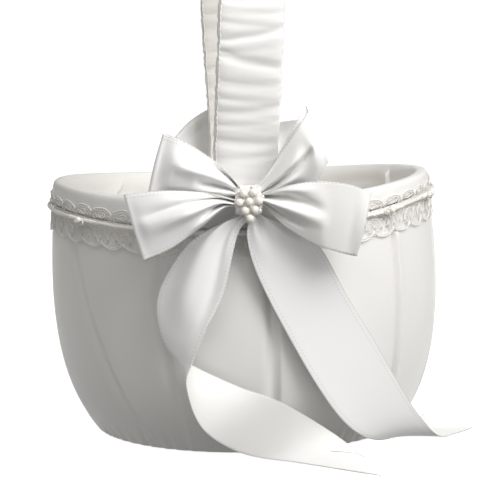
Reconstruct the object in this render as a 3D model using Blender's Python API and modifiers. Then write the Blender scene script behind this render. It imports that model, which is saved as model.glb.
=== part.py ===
"""Flower girl basket: a round satin bowl with a padded rim, a ruched strap handle and two ribbon bows.

Metres, +Z up. The origin is the centre of the flat underside, on the surface that the basket stands on.
The front bow faces -Y and the handle arches over the bowl from front to back.
"""

import math

import bmesh
import bpy
from mathutils import Vector

MM = 0.001

# Bowl. The wall swells from the base, draws in a little under the rim, and leans with it to one side.
# The rim dips at the two ends of the handle. Its rise differs between the cord and the top of the roll.
BELLY_RADIUS = 82.0 * MM
FOOT_RADIUS = 64.0 * MM
CORD_HEIGHT = 95.0 * MM
WALL_POWER = 4.3
RIM_TUCK = 2.6 * MM
TUCK_START = 50.0 * MM
RIM_SHIFT = -1.7 * MM
CORD_SADDLE = 3.8 * MM
CORD_LEAN = 2.7 * MM
TOP_SADDLE = 2.4 * MM
TOP_LEAN = 1.0 * MM
GAP = 0.3 * MM

# Wall layers, measured inwards from the outside of the satin cover.
COVER_THICKNESS = 1.0 * MM
PLEAT_COUNT = 10
PLEAT_DEPTH = 1.6 * MM
PLEAT_START = math.radians(12)
SHELL_OUTSIDE = 3.2 * MM
SHELL_THICKNESS = 1.8 * MM
LINING_OUTSIDE = 5.3 * MM
LINING_THICKNESS = 0.8 * MM
WALL_TOP = CORD_HEIGHT + 1.0 * MM

# Base, from the table up.
BASE_DISC_RADIUS = 51.5 * MM
BASE_DISC_THICKNESS = 1.4 * MM
COVER_BOTTOM = 0.4 * MM
COVER_TURN_UNDER = 52.5 * MM
SHELL_BOTTOM = 1.8 * MM
CARD_BOTTOM = 3.9 * MM
CARD_THICKNESS = 1.6 * MM
CARD_RADIUS = 55.0 * MM
LINING_BOTTOM = 5.8 * MM

# Padded rim roll, an oval ring on top of the wall.
ROLL_RADIUS = 76.8 * MM
ROLL_HEIGHT = CORD_HEIGHT + 5.5 * MM
ROLL_HALF_WIDTH = 2.9 * MM
ROLL_HALF_HEIGHT = 5.0 * MM
BINDING_THICKNESS = 0.8 * MM
BINDING_MOUTH = math.radians(100)

# Lace, cord and pearl knots under the roll.
LACE_THICKNESS = 0.4 * MM
LACE_TOP = 6.0 * MM
LACE_BOTTOM = -10.0 * MM
CORD_RADIUS = 0.8 * MM
CORD_RING_RADIUS = 81.4 * MM
PEARL_KNOT_RADIUS = 1.3 * MM
PEARL_KNOT_TURNS = {"right": (43, 68, 100, 126), "left": (-54, -104, -126, -148)}

# Handle: a springy core strip in a ruched satin sleeve, fastened inside the bowl.
STRAP_WIDTH = 25.0 * MM
STRAP_THICKNESS = 3.6 * MM
CORE_WIDTH = 21.6 * MM
CORE_THICKNESS = 1.2 * MM
SLEEVE_WALL = 0.8 * MM
STRAP_ROUTE = (
    (71.2, 60), (71.2, 78), (70.2, 87), (69.3, 95), (70.6, 105), (74.4, 122),
    (79, 146), (81, 170), (79.3, 195), (71, 218), (55, 237), (30, 249), (0, 253),
)
STRAP_OFFSET = -1.5 * MM
STRAP_TWIST = 1.4 * MM
TWIST_HEIGHT = 152.0 * MM
TWIST_SPAN = 28.0 * MM
RIVET_HEIGHT = 71.0 * MM
RIVET_SPACING = 12.0 * MM
RIVET_SHANK_RADIUS = 1.2 * MM
RIVET_HEAD_RADIUS = 3.0 * MM
RIVET_HEAD_THICKNESS = 1.0 * MM
RIVET_HOLE_RADIUS = 1.6 * MM

# Bow: four loops, two tails, a centre knot, a pearl brooch and the band that ties it to the strap.
RIBBON_THICKNESS = 0.5 * MM
BOW_HEIGHT = 104.5 * MM
KNOT_SIZE = (10.4 * MM, 6.8 * MM, 12.0 * MM)
KNOT_Y = -89.0 * MM
TIE_SIZE = (31.0 * MM, 18.6 * MM, 5.6 * MM)
TIE_Y = -75.9 * MM
TIE_HEIGHT = 106.5 * MM
TIE_SLOT_Y = -71.3 * MM
TIE_SLOT_DEPTH = 5.8 * MM
BROOCH_RADIUS = 5.5 * MM
BROOCH_THICKNESS = 1.0 * MM
BROOCH_Y = -93.2 * MM
PEARL_RADIUS = 1.3 * MM
PEARL_SPACING = 3.8 * MM

TURN_STEPS = 40
SKIN_STEPS = 50


def clear_scene():
    for thing in list(bpy.data.objects):
        bpy.data.objects.remove(thing)


def collection(name):
    group = bpy.data.collections.new(name)
    bpy.context.scene.collection.children.link(group)
    return group


def material(name, colour, roughness, metallic=0.0):
    made = bpy.data.materials.new(name)
    made.use_nodes = True
    shader = made.node_tree.nodes["Principled BSDF"]
    shader.inputs["Base Color"].default_value = (*colour, 1.0)
    shader.inputs["Roughness"].default_value = roughness
    shader.inputs["Metallic"].default_value = metallic
    return made


def add_mesh(name, mesh, finish, group):
    piece = bpy.data.objects.new(name, mesh)
    group.objects.link(piece)
    if finish:
        mesh.materials.clear()
        mesh.materials.append(finish)
    mesh.shade_smooth()
    mesh.set_sharp_from_angle(angle=math.radians(40))
    return piece


def mesh_of(piece):
    """The mesh of an object with its modifiers applied."""
    graph = bpy.context.evaluated_depsgraph_get()
    return bpy.data.meshes.new_from_object(piece.evaluated_get(graph))


def bake(piece):
    """Apply an object's modifiers, so that its points can be moved one by one."""
    made = mesh_of(piece)
    piece.modifiers.clear()
    piece.data = made
    return piece


def wall_radius(height):
    """Outside radius of the satin cover at a height above the table."""
    left = max(1.0 - height / CORD_HEIGHT, 0.0)
    tuck = min(max(height - TUCK_START, 0.0) / (CORD_HEIGHT - TUCK_START), 1.0)
    return BELLY_RADIUS - (BELLY_RADIUS - FOOT_RADIUS) * left ** WALL_POWER - RIM_TUCK * tuck ** 2


def wall_slope(height):
    step = 0.1 * MM
    return (wall_radius(height + step) - wall_radius(height - step)) / (2 * step)


def layer(depth, bottom, top=WALL_TOP, count=7):
    """Points (radius, height) of a wall layer that lies a depth inside the cover, from top to bottom."""
    points = []
    for step in range(count, -1, -1):
        height = bottom + (top - bottom) * (step / count) ** 1.5
        points.append((wall_radius(height) - depth * math.hypot(1.0, wall_slope(height)), height))
    return points


def rim_rise(x, y, height=CORD_HEIGHT):
    """How far the rim stands above its mean height in the direction of a point."""
    turn = math.atan2(x, -y)
    above = min(max((height - CORD_HEIGHT) / (ROLL_HEIGHT + ROLL_HALF_HEIGHT - CORD_HEIGHT), 0.0), 1.0)
    lean = CORD_LEAN + (TOP_LEAN - CORD_LEAN) * above
    saddle = CORD_SADDLE + (TOP_SADDLE - CORD_SADDLE) * above
    return lean * math.sin(turn) - saddle * math.cos(2 * turn)


def follow_rim(mesh):
    """Move each point by its share of the rim's rise and shift: none at the table, all of it at the cord."""
    for point in mesh.vertices:
        share = min(max(point.co.z / CORD_HEIGHT, 0.0), 1.0) ** 1.5
        point.co.z += share * rim_rise(point.co.x, point.co.y, point.co.z)
        point.co.x += share * RIM_SHIFT


def turned(name, profile, finish, group, closed=True, steps=TURN_STEPS):
    """A ring or bowl turned about Z, from (radius, height) points that run down its outer side."""
    mesh = bpy.data.meshes.new(name)
    count = len(profile)
    edges = [(index, index + 1) for index in range(count - 1)]
    if closed:
        edges.append((count - 1, 0))
    mesh.from_pydata([(radius, 0.0, height) for radius, height in profile], edges, [])
    piece = bpy.data.objects.new(name, mesh)
    group.objects.link(piece)
    screw = piece.modifiers.new("turn", "SCREW")
    screw.steps = steps
    screw.render_steps = steps
    screw.use_merge_vertices = True
    screw.merge_threshold = 0.00001
    bake(piece)
    piece.data.materials.append(finish)
    piece.data.shade_smooth()
    piece.data.set_sharp_from_angle(angle=math.radians(40))
    return piece


def cylinder(name, radius, depth, place, group, finish=None, vertices=16, lie=False):
    """A cylinder on a centre point, upright or lying along Y."""
    mesh = bpy.data.meshes.new(name)
    build = bmesh.new()
    bmesh.ops.create_cone(build, cap_ends=True, segments=vertices, radius1=radius, radius2=radius, depth=depth)
    if lie:
        bmesh.ops.rotate(build, verts=build.verts, matrix=Vector((0, 0, 1)).rotation_difference(
            Vector((0, 1, 0))).to_matrix())
    bmesh.ops.translate(build, verts=build.verts, vec=place)
    build.to_mesh(mesh)
    build.free()
    return add_mesh(name, mesh, finish, group)


def cut(piece, cutter):
    hole = piece.modifiers.new("cut " + cutter.name, "BOOLEAN")
    hole.operation = "DIFFERENCE"
    hole.solver = "EXACT"
    hole.object = cutter


def as_cutter(piece):
    piece.hide_render = True
    piece.display_type = "WIRE"
    return piece


def spline_points(points, count):
    """Points read evenly from a smooth curve that runs through the given ones."""
    knots = [Vector(point) for point in points]
    knots = [2 * knots[0] - knots[1], *knots, 2 * knots[-1] - knots[-2]]
    spans = len(knots) - 3
    made = []
    for step in range(count):
        place = spans * step / (count - 1)
        span = min(int(place), spans - 1)
        t = place - span
        a, b, c, d = knots[span:span + 4]
        made.append(0.5 * (2 * b + (c - a) * t + (2 * a - 5 * b + 4 * c - d) * t * t
                           + (3 * b - a - 3 * c + d) * t ** 3))
    return made


def ribbon(name, left, right, finish, group, thickness=RIBBON_THICKNESS):
    """A ribbon between two edges of equally many points, with its thickness set about its middle."""
    mesh = bpy.data.meshes.new(name)
    count = len(left)
    faces = [(i, i + 1, count + i + 1, count + i) for i in range(count - 1)]
    mesh.from_pydata([*left, *right], [], faces)
    piece = add_mesh(name, mesh, finish, group)
    solid = piece.modifiers.new("thickness", "SOLIDIFY")
    solid.thickness = thickness
    solid.offset = 0.0
    return piece


# ---------------------------------------------------------------- bowl

def base_disc(finish, group):
    middle = (0.0, 0.0, BASE_DISC_THICKNESS / 2)
    return cylinder("base_disc", BASE_DISC_RADIUS, BASE_DISC_THICKNESS, middle, group, finish, 48)


def outer_cover(finish, group):
    """The satin skirt: its lower edge is turned under the shell, round the base disc."""
    outside = layer(0.0, COVER_BOTTOM + 0.6 * MM)
    inside = layer(COVER_THICKNESS, COVER_BOTTOM + COVER_THICKNESS + 0.3 * MM)
    bottom = [(FOOT_RADIUS - 2 * MM, COVER_BOTTOM), (COVER_TURN_UNDER, COVER_BOTTOM)]
    top = [(COVER_TURN_UNDER, COVER_BOTTOM + 0.8 * MM), (FOOT_RADIUS - 3.5 * MM, COVER_BOTTOM + 0.8 * MM)]
    profile = outside + bottom + top + inside[::-1]
    piece = turned("outer_cover", profile, finish, group, steps=SKIN_STEPS)
    for point in piece.data.vertices:
        x, y, z = point.co
        turn = math.atan2(x, -y) - PLEAT_START
        valley = (0.5 - 0.5 * math.cos(PLEAT_COUNT * turn)) ** 3
        swell = math.sin(math.pi * min(max(z / CORD_HEIGHT, 0.0), 1.0))
        shrink = 1.0 - PLEAT_DEPTH * valley * swell / math.hypot(x, y)
        point.co.x *= shrink
        point.co.y *= shrink
    follow_rim(piece.data)
    return piece


def bowl_shell(finish, group):
    outside = layer(SHELL_OUTSIDE, SHELL_BOTTOM)
    inside = layer(SHELL_OUTSIDE + SHELL_THICKNESS, SHELL_BOTTOM + SHELL_THICKNESS)
    profile = outside + [(0.0, SHELL_BOTTOM), (0.0, SHELL_BOTTOM + SHELL_THICKNESS)] + inside[::-1]
    piece = turned("bowl_shell", profile, finish, group)
    follow_rim(piece.data)
    return piece


def floor_card(finish, group):
    middle = (0.0, 0.0, CARD_BOTTOM + CARD_THICKNESS / 2)
    return cylinder("floor_card", CARD_RADIUS, CARD_THICKNESS, middle, group, finish, 48)


def lining(finish, group):
    outside = layer(LINING_OUTSIDE, LINING_BOTTOM)
    inside = layer(LINING_OUTSIDE + LINING_THICKNESS, LINING_BOTTOM + LINING_THICKNESS)
    profile = outside + [(0.0, LINING_BOTTOM), (0.0, LINING_BOTTOM + LINING_THICKNESS)] + inside[::-1]
    piece = turned("lining", profile, finish, group)
    follow_rim(piece.data)
    return piece


# ---------------------------------------------------------------- rim

def oval(half_width, half_height, start, end, count):
    """Points of an oval about the roll's middle, clockwise from a start angle down its outer side."""
    points = []
    for step in range(count):
        angle = start + (end - start) * step / max(count - 1, 1)
        points.append((ROLL_RADIUS + half_width * math.sin(angle), ROLL_HEIGHT + half_height * math.cos(angle)))
    return points


def rim_padding(finish, group):
    inset = BINDING_THICKNESS + GAP
    whole = math.radians(324)
    profile = oval(ROLL_HALF_WIDTH - inset, ROLL_HALF_HEIGHT - inset, 0.0, whole, 10)
    piece = turned("rim_padding", profile, finish, group)
    follow_rim(piece.data)
    return piece


def rim_binding(finish, group):
    """A satin tube round the padding, open underneath where the wall comes up into it."""
    start = -math.pi + BINDING_MOUTH / 2
    end = math.pi - BINDING_MOUTH / 2
    outside = oval(ROLL_HALF_WIDTH, ROLL_HALF_HEIGHT, start, end, 10)
    inset = BINDING_THICKNESS
    inside = oval(ROLL_HALF_WIDTH - inset, ROLL_HALF_HEIGHT - inset, end, start, 10)
    piece = turned("rim_binding", outside + inside, finish, group)
    follow_rim(piece.data)
    return piece


def lace_trim(finish, group):
    """A band of lace over the foot of the roll and the top of the cover."""
    inner = [(ROLL_RADIUS + ROLL_HALF_WIDTH + 0.35 * MM, LACE_TOP)]
    for rise in (1.0 * MM, -2.0 * MM, -5.0 * MM, LACE_BOTTOM):
        inner.append((wall_radius(CORD_HEIGHT + rise) + 0.4 * MM, rise))
    outside = [(radius + LACE_THICKNESS, CORD_HEIGHT + rise) for radius, rise in inner]
    inside = [(radius, CORD_HEIGHT + rise) for radius, rise in inner]
    piece = turned("lace_trim", outside + inside[::-1], finish, group, steps=SKIN_STEPS)
    follow_rim(piece.data)
    return piece


def trim_cord(finish, group):
    """A thin round cord in the groove under the roll."""
    curve = bpy.data.curves.new("trim_cord", "CURVE")
    curve.dimensions = "3D"
    curve.bevel_depth = CORD_RADIUS
    curve.bevel_resolution = 1
    spline = curve.splines.new("POLY")
    count = SKIN_STEPS
    spline.points.add(count - 1)
    spline.use_cyclic_u = True
    for index in range(count):
        turn = 2 * math.pi * index / count
        x = CORD_RING_RADIUS * math.cos(turn)
        y = CORD_RING_RADIUS * math.sin(turn)
        spline.points[index].co = (x + RIM_SHIFT, y, CORD_HEIGHT + rim_rise(x, y), 1.0)
    curve.materials.append(finish)
    piece = bpy.data.objects.new("trim_cord", curve)
    group.objects.link(piece)
    return piece


def sphere(name, radius, place, finish, group, segments=10):
    mesh = bpy.data.meshes.new(name)
    build = bmesh.new()
    bmesh.ops.create_uvsphere(build, u_segments=segments, v_segments=segments * 2 // 3, radius=radius)
    build.to_mesh(mesh)
    build.free()
    piece = add_mesh(name, mesh, finish, group)
    piece.location = place
    return piece


def pearl_knots(finish, group):
    """Pearls strung on the cord at each side of the bowl, clear of the bows."""
    ring = CORD_RING_RADIUS + CORD_RADIUS + PEARL_KNOT_RADIUS + GAP
    for word, turns in PEARL_KNOT_TURNS.items():
        for number, turn in enumerate(turns, 1):
            x = ring * math.sin(math.radians(turn))
            y = -ring * math.cos(math.radians(turn))
            place = (x + RIM_SHIFT, y, CORD_HEIGHT + rim_rise(x, y))
            sphere(f"cord_pearl_{word}_{number}", PEARL_KNOT_RADIUS, place, finish, group)


# ---------------------------------------------------------------- handle

def strap_shift(y, z):
    """Sideways place of the strap, which sits a little off centre and is slightly twisted."""
    turn = min(max((z - TWIST_HEIGHT) / TWIST_SPAN, -1.0), 1.0)
    return STRAP_OFFSET - STRAP_TWIST * turn * y / (80 * MM)


def strap_path(count):
    """Points of the strap's middle from the front foot over the top to the rear foot."""
    front = [(0.0, -y * MM, z * MM) for y, z in STRAP_ROUTE]
    rear = [(0.0, -y, z) for _, y, z in front[-2::-1]]
    points = spline_points(front + rear, count)
    for point in points:
        point.x = strap_shift(point.y, point.z)
    return points


def strap_section(path, index, half_width, half_thickness):
    """Four corners of the strap's section, square to its path."""
    before = path[max(index - 1, 0)]
    after = path[min(index + 1, len(path) - 1)]
    along = (after - before).normalized()
    out = along.cross(Vector((1, 0, 0))).normalized() * half_thickness
    side = Vector((half_width, 0, 0))
    middle = path[index]
    return [middle + side + out, middle - side + out, middle - side - out, middle + side - out]


def strap_solid(name, sections, finish, group, inner=None):
    """A loft along the strap through sections of four corners, hollow where inner sections are given."""
    build = bmesh.new()
    outer_rings = [[build.verts.new(corner) for corner in section] for section in sections]
    rings = [outer_rings]
    if inner:
        rings.append([[build.verts.new(corner) for corner in section] for section in inner])
    for part in rings:
        for first, second in zip(part, part[1:]):
            for corner in range(4):
                follow = (corner + 1) % 4
                build.faces.new((first[corner], first[follow], second[follow], second[corner]))
    for end in (0, -1):
        if inner:
            for corner in range(4):
                follow = (corner + 1) % 4
                a, b = rings[0][end], rings[1][end]
                build.faces.new((a[corner], a[follow], b[follow], b[corner]))
        else:
            build.faces.new(rings[0][end])
    bmesh.ops.recalc_face_normals(build, faces=build.faces)
    mesh = bpy.data.meshes.new(name)
    build.to_mesh(mesh)
    build.free()
    return add_mesh(name, mesh, finish, group)


def handle_core(finish, group):
    path = strap_path(37)
    sections = [strap_section(path, i, CORE_WIDTH / 2, CORE_THICKNESS / 2) for i in range(len(path))]
    return strap_solid("handle_core", sections, finish, group)


def handle_sleeve(finish, group):
    path = strap_path(37)
    half_width = STRAP_WIDTH / 2
    half_thickness = STRAP_THICKNESS / 2
    sections = [strap_section(path, i, half_width, half_thickness) for i in range(len(path))]
    inner = [strap_section(path, i, half_width - SLEEVE_WALL, half_thickness - SLEEVE_WALL)
             for i in range(len(path))]
    return strap_solid("handle_sleeve", sections, finish, group, inner)


def rivet_places():
    """Word, side and middle of each rivet; side is -1 at the front foot and 1 at the rear one."""
    foot = STRAP_ROUTE[0][0] * MM
    for side, end in ((-1, "front"), (1, "rear")):
        middle = strap_shift(side * foot, RIVET_HEIGHT)
        for step, word in ((-0.5, "left"), (0.5, "right")):
            yield f"{end}_{word}", side, (middle + step * RIVET_SPACING, side * foot, RIVET_HEIGHT)


def handle_rivets(finish, group, cutters, pierced):
    """Flat-headed rivets through the strap, the lining and the shell, in clearance holes."""
    head_face = STRAP_THICKNESS / 2 + GAP
    shank_end = wall_radius(RIVET_HEIGHT) - SHELL_OUTSIDE - STRAP_ROUTE[0][0] * MM - 1.2 * MM
    for word, side, place in rivet_places():
        head_back = -head_face - RIVET_HEAD_THICKNESS
        rows = [(0.0, shank_end), (RIVET_SHANK_RADIUS, shank_end), (RIVET_SHANK_RADIUS, -head_face),
                (RIVET_HEAD_RADIUS, -head_face), (RIVET_HEAD_RADIUS * 0.8, head_back), (0.0, head_back)]
        piece = turned("handle_rivet_" + word, rows, finish, group, closed=False, steps=14)
        piece.rotation_euler = (-side * math.pi / 2, 0.0, 0.0)
        piece.location = place
        hole = cylinder("hole_" + word, RIVET_HOLE_RADIUS, 20 * MM, place, cutters, lie=True, vertices=14)
        as_cutter(hole)
        for target in pierced:
            cut(target, hole)


# ---------------------------------------------------------------- bows

def bow_loop(name, root, tip, fold, depth, finish, group):
    """A ribbon loop: out along its front, round the fold at its tip and back along its rear.

    root is the middle of its pinched end and tip the middle of its fold, both (x, y, z) in mm;
    fold is the vector along the fold, lower edge to upper, in mm; depth is how far the loop opens, in mm.
    """
    root = Vector(root) * MM
    tip = Vector(tip) * MM
    half_fold = Vector(fold) * MM / 2
    pinch = half_fold.normalized() * 2.4 * MM
    open_root = 0.75 * MM
    open_tip = depth * MM / 2
    layer_steps = 7
    turns = [math.pi * step / 4 for step in range(1, 4)]
    left, right = [], []

    def add(share, reach, lift):
        middle = root.lerp(tip, share) + (tip - root).normalized() * reach
        spread = pinch.lerp(half_fold, min(share / 0.7, 1.0) ** 0.8)
        middle.y -= lift
        left.append(middle - spread)
        right.append(middle + spread)

    shares = [step / layer_steps for step in range(layer_steps + 1)]
    for share in shares:
        add(share, 0.0, open_root + (open_tip - open_root) * math.sin(share * math.pi / 2))
    for turn in turns:
        add(1.0, open_tip * math.sin(turn), open_tip * math.cos(turn))
    for share in shares[::-1]:
        add(share, 0.0, -open_root - (open_tip - open_root) * math.sin(share * math.pi / 2))
    return ribbon(name, left, right, finish, group)


FRONT_LOOPS = {
    "upper_left_loop": ((-6.2, -87.6, 107.4), (-34.0, -86.4, 119.0), (6.1, 0, 20.6), 4.6),
    "upper_right_loop": ((6.7, -87.6, 108.4), (26.5, -86.4, 127.4), (-8.6, 3, 19.6), 4.6),
    "lower_left_loop": ((-6.2, -91.2, 102.2), (-42.4, -92.6, 95.4), (-7.4, 0, 24.3), 5.4),
    "lower_right_loop": ((6.2, -91.2, 102.2), (43.0, -92.6, 95.6), (6.5, 0, 23.6), 5.4),
}
# The rear bow is tied tighter: its upper loops stand up more steeply and its lower ones are shorter.
REAR_LOOPS = {
    "upper_left_loop": ((-6.4, -88.1, 108.6), (-26.0, -88.1, 116.6), (-9.5, 0, 17.0), 4.2),
    "upper_right_loop": ((6.4, -88.1, 108.6), (19.0, -88.1, 122.0), (-15.0, 0, 11.5), 4.2),
    "lower_left_loop": ((-6.2, -91.8, 101.6), (-30.0, -94.2, 93.4), (-7.4, 0, 22.3), 5.0),
    "lower_right_loop": ((6.2, -91.8, 101.6), (30.0, -94.2, 93.6), (6.5, 0, 22.3), 5.0),
}

# Each tail is a ribbon between two edges, in mm from the bow's own middle plane.
LEFT_TAIL = (
    ((-4.5, -87.2, 98.2), (-22.2, -87.6, 88.2), (-33.3, -88.0, 72.3), (-35.5, -86.0, 60.0),
     (-32.0, -82.5, 47.0), (-23.0, -80.5, 40.0), (-5.0, -80.5, 31.0), (11.0, -80.0, 24.5),
     (30.6, -76.5, 11.8), (44.3, -80.0, 1.6)),
    ((-0.4, -87.8, 97.8), (-5.0, -88.6, 90.5), (-10.3, -89.2, 69.8), (-17.1, -91.5, 56.4),
     (-23.0, -95.5, 43.0), (-25.0, -97.0, 34.0), (-19.0, -91.0, 17.0), (-3.0, -80.5, 4.5),
     (19.1, -83.0, 0.8), (47.4, -107.0, 0.8)),
)
RIGHT_TAIL = (
    ((0.6, -87.8, 98.0), (-0.6, -88.0, 90.0), (3.0, -86.8, 76.0), (13.9, -85.4, 53.1),
     (27.5, -82.0, 28.6), (38.5, -76.5, 13.6), (49.5, -66.5, 5.6), (61.0, -49.0, 2.6),
     (68.5, -35.0, 3.0), (76.0, -21.0, 6.0)),
    ((4.8, -87.2, 98.6), (16.0, -86.8, 93.0), (27.0, -84.6, 85.5), (38.0, -79.5, 65.6),
     (49.0, -73.5, 47.0), (58.5, -66.5, 30.0), (68.5, -58.0, 13.5), (78.0, -49.0, 2.6),
     (87.0, -38.0, 0.8), (96.0, -28.0, 0.8)),
)
# The rear bow's tails hang straight down behind the bowl.
REAR_LEFT_TAIL = (
    ((-4.5, -87.2, 98.2), (-17.0, -87.6, 89.0), (-28.0, -87.4, 74.0), (-36.0, -86.0, 55.0),
     (-41.0, -84.0, 36.0), (-43.0, -81.0, 18.0)),
    ((-0.4, -87.8, 97.8), (-3.4, -88.0, 87.0), (-5.5, -88.0, 68.0), (-10.5, -87.6, 48.0),
     (-16.0, -86.0, 28.0), (-19.0, -83.5, 10.0)),
)
REAR_RIGHT_TAIL = (
    ((0.4, -87.8, 97.8), (2.4, -88.4, 86.0), (4.5, -88.2, 66.0), (9.0, -87.6, 46.0),
     (13.0, -86.0, 27.0), (16.0, -83.5, 9.0)),
    ((4.5, -87.2, 98.2), (16.0, -87.4, 90.0), (27.0, -87.0, 76.0), (34.0, -86.0, 57.0),
     (38.0, -84.0, 38.0), (41.0, -81.0, 20.0)),
)
TAIL_STEPS = 22


def bow_tail(name, edges, finish, group):
    left, right = ([Vector(point) * MM for point in edge] for edge in edges)
    return ribbon(name, spline_points(left, TAIL_STEPS), spline_points(right, TAIL_STEPS), finish, group)


def bow_knot(name, finish, group):
    """The pinched centre: a pillow with rounded edges."""
    mesh = bpy.data.meshes.new(name)
    build = bmesh.new()
    bmesh.ops.create_cube(build, size=1.0)
    bmesh.ops.scale(build, verts=build.verts, vec=KNOT_SIZE)
    bmesh.ops.translate(build, verts=build.verts, vec=(0.0, KNOT_Y, BOW_HEIGHT))
    build.to_mesh(mesh)
    build.free()
    piece = add_mesh(name, mesh, finish, group)
    edge = piece.modifiers.new("soft edges", "BEVEL")
    edge.width = 2.4 * MM
    edge.segments = 3
    return piece


def bow_tie(name, finish, group, passage):
    """The band that ties the bow on: a ring round the strap with a thick pad in front of it."""
    mesh = bpy.data.meshes.new(name)
    build = bmesh.new()
    bmesh.ops.create_cube(build, size=1.0)
    bmesh.ops.scale(build, verts=build.verts, vec=TIE_SIZE)
    bmesh.ops.translate(build, verts=build.verts, vec=(0.0, TIE_Y, TIE_HEIGHT))
    build.to_mesh(mesh)
    build.free()
    piece = add_mesh(name, mesh, finish, group)
    edge = piece.modifiers.new("soft edges", "BEVEL")
    edge.width = 1.0 * MM
    edge.segments = 2
    cut(piece, passage)
    return piece


def strap_passage(name, cutters):
    """Cutter for the slot in a tie band, a little larger than the strap."""
    mesh = bpy.data.meshes.new(name)
    build = bmesh.new()
    bmesh.ops.create_cube(build, size=1.0)
    bmesh.ops.scale(build, verts=build.verts, vec=(STRAP_WIDTH + 1.2 * MM, TIE_SLOT_DEPTH, 20 * MM))
    bmesh.ops.translate(build, verts=build.verts, vec=(0.0, TIE_SLOT_Y, TIE_HEIGHT))
    build.to_mesh(mesh)
    build.free()
    return as_cutter(add_mesh(name, mesh, None, cutters))


def brooch(prefix, finishes, group, parent):
    """A round backing with a cluster of pearls: one in the middle, six round it and one below."""
    place = (0.0, BROOCH_Y, BOW_HEIGHT)
    back = cylinder(prefix + "brooch_back", BROOCH_RADIUS, BROOCH_THICKNESS, place, group,
                    finishes["ribbon"], 20, lie=True)
    back.parent = parent
    spots = [(0.0, 0.0)]
    for step in range(6):
        turn = math.radians(60 * step)
        spots.append((PEARL_SPACING * math.cos(turn), PEARL_SPACING * math.sin(turn)))
    spots.append((0.0, -PEARL_SPACING * math.sqrt(3)))
    pearl_y = BROOCH_Y - BROOCH_THICKNESS / 2 - PEARL_RADIUS - GAP
    for number, (x, z) in enumerate(spots, 1):
        pearl = sphere(f"{prefix}brooch_pearl_{number}", PEARL_RADIUS, (x, pearl_y, BOW_HEIGHT + z),
                       finishes["pearl"], group, 8)
        pearl.parent = parent


def bow(prefix, shift, turn, loops, tails, finishes, group, cutters):
    """One whole bow on an empty; the rear bow is turned to face backwards."""
    middle = bpy.data.objects.new(prefix + "middle", None)
    group.objects.link(middle)
    middle.location = (shift, 0.0, 0.0)
    middle.rotation_euler = (0.0, 0.0, turn)
    satin = finishes["ribbon"]
    for word, (root, tip, fold, depth) in loops.items():
        bow_loop(prefix + word, root, tip, fold, depth, satin, group).parent = middle
    for word, edges in zip(("left_tail", "right_tail"), tails):
        bow_tail(prefix + word, edges, satin, group).parent = middle
    bow_knot(prefix + "knot", satin, group).parent = middle
    passage = strap_passage(prefix + "passage", cutters)
    passage.parent = middle
    bow_tie(prefix + "tie_band", satin, group, passage).parent = middle
    return middle


def main():
    clear_scene()
    group = collection("flower girl basket")
    cutters = collection("cutters")
    finishes = {
        "satin": material("white satin", (0.9, 0.89, 0.87), 0.4),
        "ribbon": material("white satin ribbon", (0.93, 0.92, 0.91), 0.3),
        "lace": material("white lace", (0.9, 0.88, 0.84), 0.8),
        "pearl": material("ivory pearl", (0.9, 0.87, 0.8), 0.2),
        "board": material("moulded board", (0.8, 0.78, 0.74), 0.7),
        "wadding": material("wadding", (0.92, 0.92, 0.92), 0.9),
        "card": material("base card", (0.82, 0.8, 0.76), 0.8),
        "strip": material("handle strip", (0.85, 0.85, 0.85), 0.5),
        "metal": material("nickel rivet", (0.7, 0.7, 0.7), 0.3, 1.0),
    }
    base_disc(finishes["satin"], group)
    shell = bowl_shell(finishes["board"], group)
    floor_card(finishes["card"], group)
    outer_cover(finishes["satin"], group)
    inner = lining(finishes["satin"], group)
    rim_padding(finishes["wadding"], group)
    rim_binding(finishes["satin"], group)
    lace_trim(finishes["lace"], group)
    trim_cord(finishes["satin"], group)
    pearl_knots(finishes["pearl"], group)
    core = handle_core(finishes["strip"], group)
    sleeve = handle_sleeve(finishes["satin"], group)
    handle_rivets(finishes["metal"], group, cutters, (shell, inner, core, sleeve))
    foot = STRAP_ROUTE[4]
    front_shift = strap_shift(-foot[0] * MM, foot[1] * MM)
    rear_shift = strap_shift(foot[0] * MM, foot[1] * MM)
    tails = (LEFT_TAIL, RIGHT_TAIL)
    front = bow("front_bow_", front_shift, 0.0, FRONT_LOOPS, tails, finishes, group, cutters)
    brooch("front_bow_", finishes, group, front)
    tails = (REAR_LEFT_TAIL, REAR_RIGHT_TAIL)
    bow("rear_bow_", rear_shift, math.pi, REAR_LOOPS, tails, finishes, group, cutters)


main()
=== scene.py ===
"""Looks of the flower girl basket: satin, ribbon, lace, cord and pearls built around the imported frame.

Lengths in this script are in millimetres until a mesh is made. Turns are in degrees from the front (-Y),
positive towards +X.
"""

import math

import bpy
import numpy as np
from mathutils import Euler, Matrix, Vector


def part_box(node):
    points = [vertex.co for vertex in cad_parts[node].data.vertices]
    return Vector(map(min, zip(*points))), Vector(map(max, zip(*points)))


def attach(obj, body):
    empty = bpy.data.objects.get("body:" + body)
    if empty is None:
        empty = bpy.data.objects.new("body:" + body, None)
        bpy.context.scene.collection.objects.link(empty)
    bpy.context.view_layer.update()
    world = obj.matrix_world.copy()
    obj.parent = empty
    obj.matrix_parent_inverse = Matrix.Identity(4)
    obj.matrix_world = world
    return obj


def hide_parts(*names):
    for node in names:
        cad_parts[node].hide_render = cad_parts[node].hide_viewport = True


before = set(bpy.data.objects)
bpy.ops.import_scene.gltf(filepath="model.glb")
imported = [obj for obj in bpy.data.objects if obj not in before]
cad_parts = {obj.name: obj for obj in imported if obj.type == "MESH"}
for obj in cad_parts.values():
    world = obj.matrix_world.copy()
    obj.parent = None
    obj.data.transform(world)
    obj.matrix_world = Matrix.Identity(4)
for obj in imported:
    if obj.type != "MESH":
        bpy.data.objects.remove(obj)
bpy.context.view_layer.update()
MM = 0.001

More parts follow.
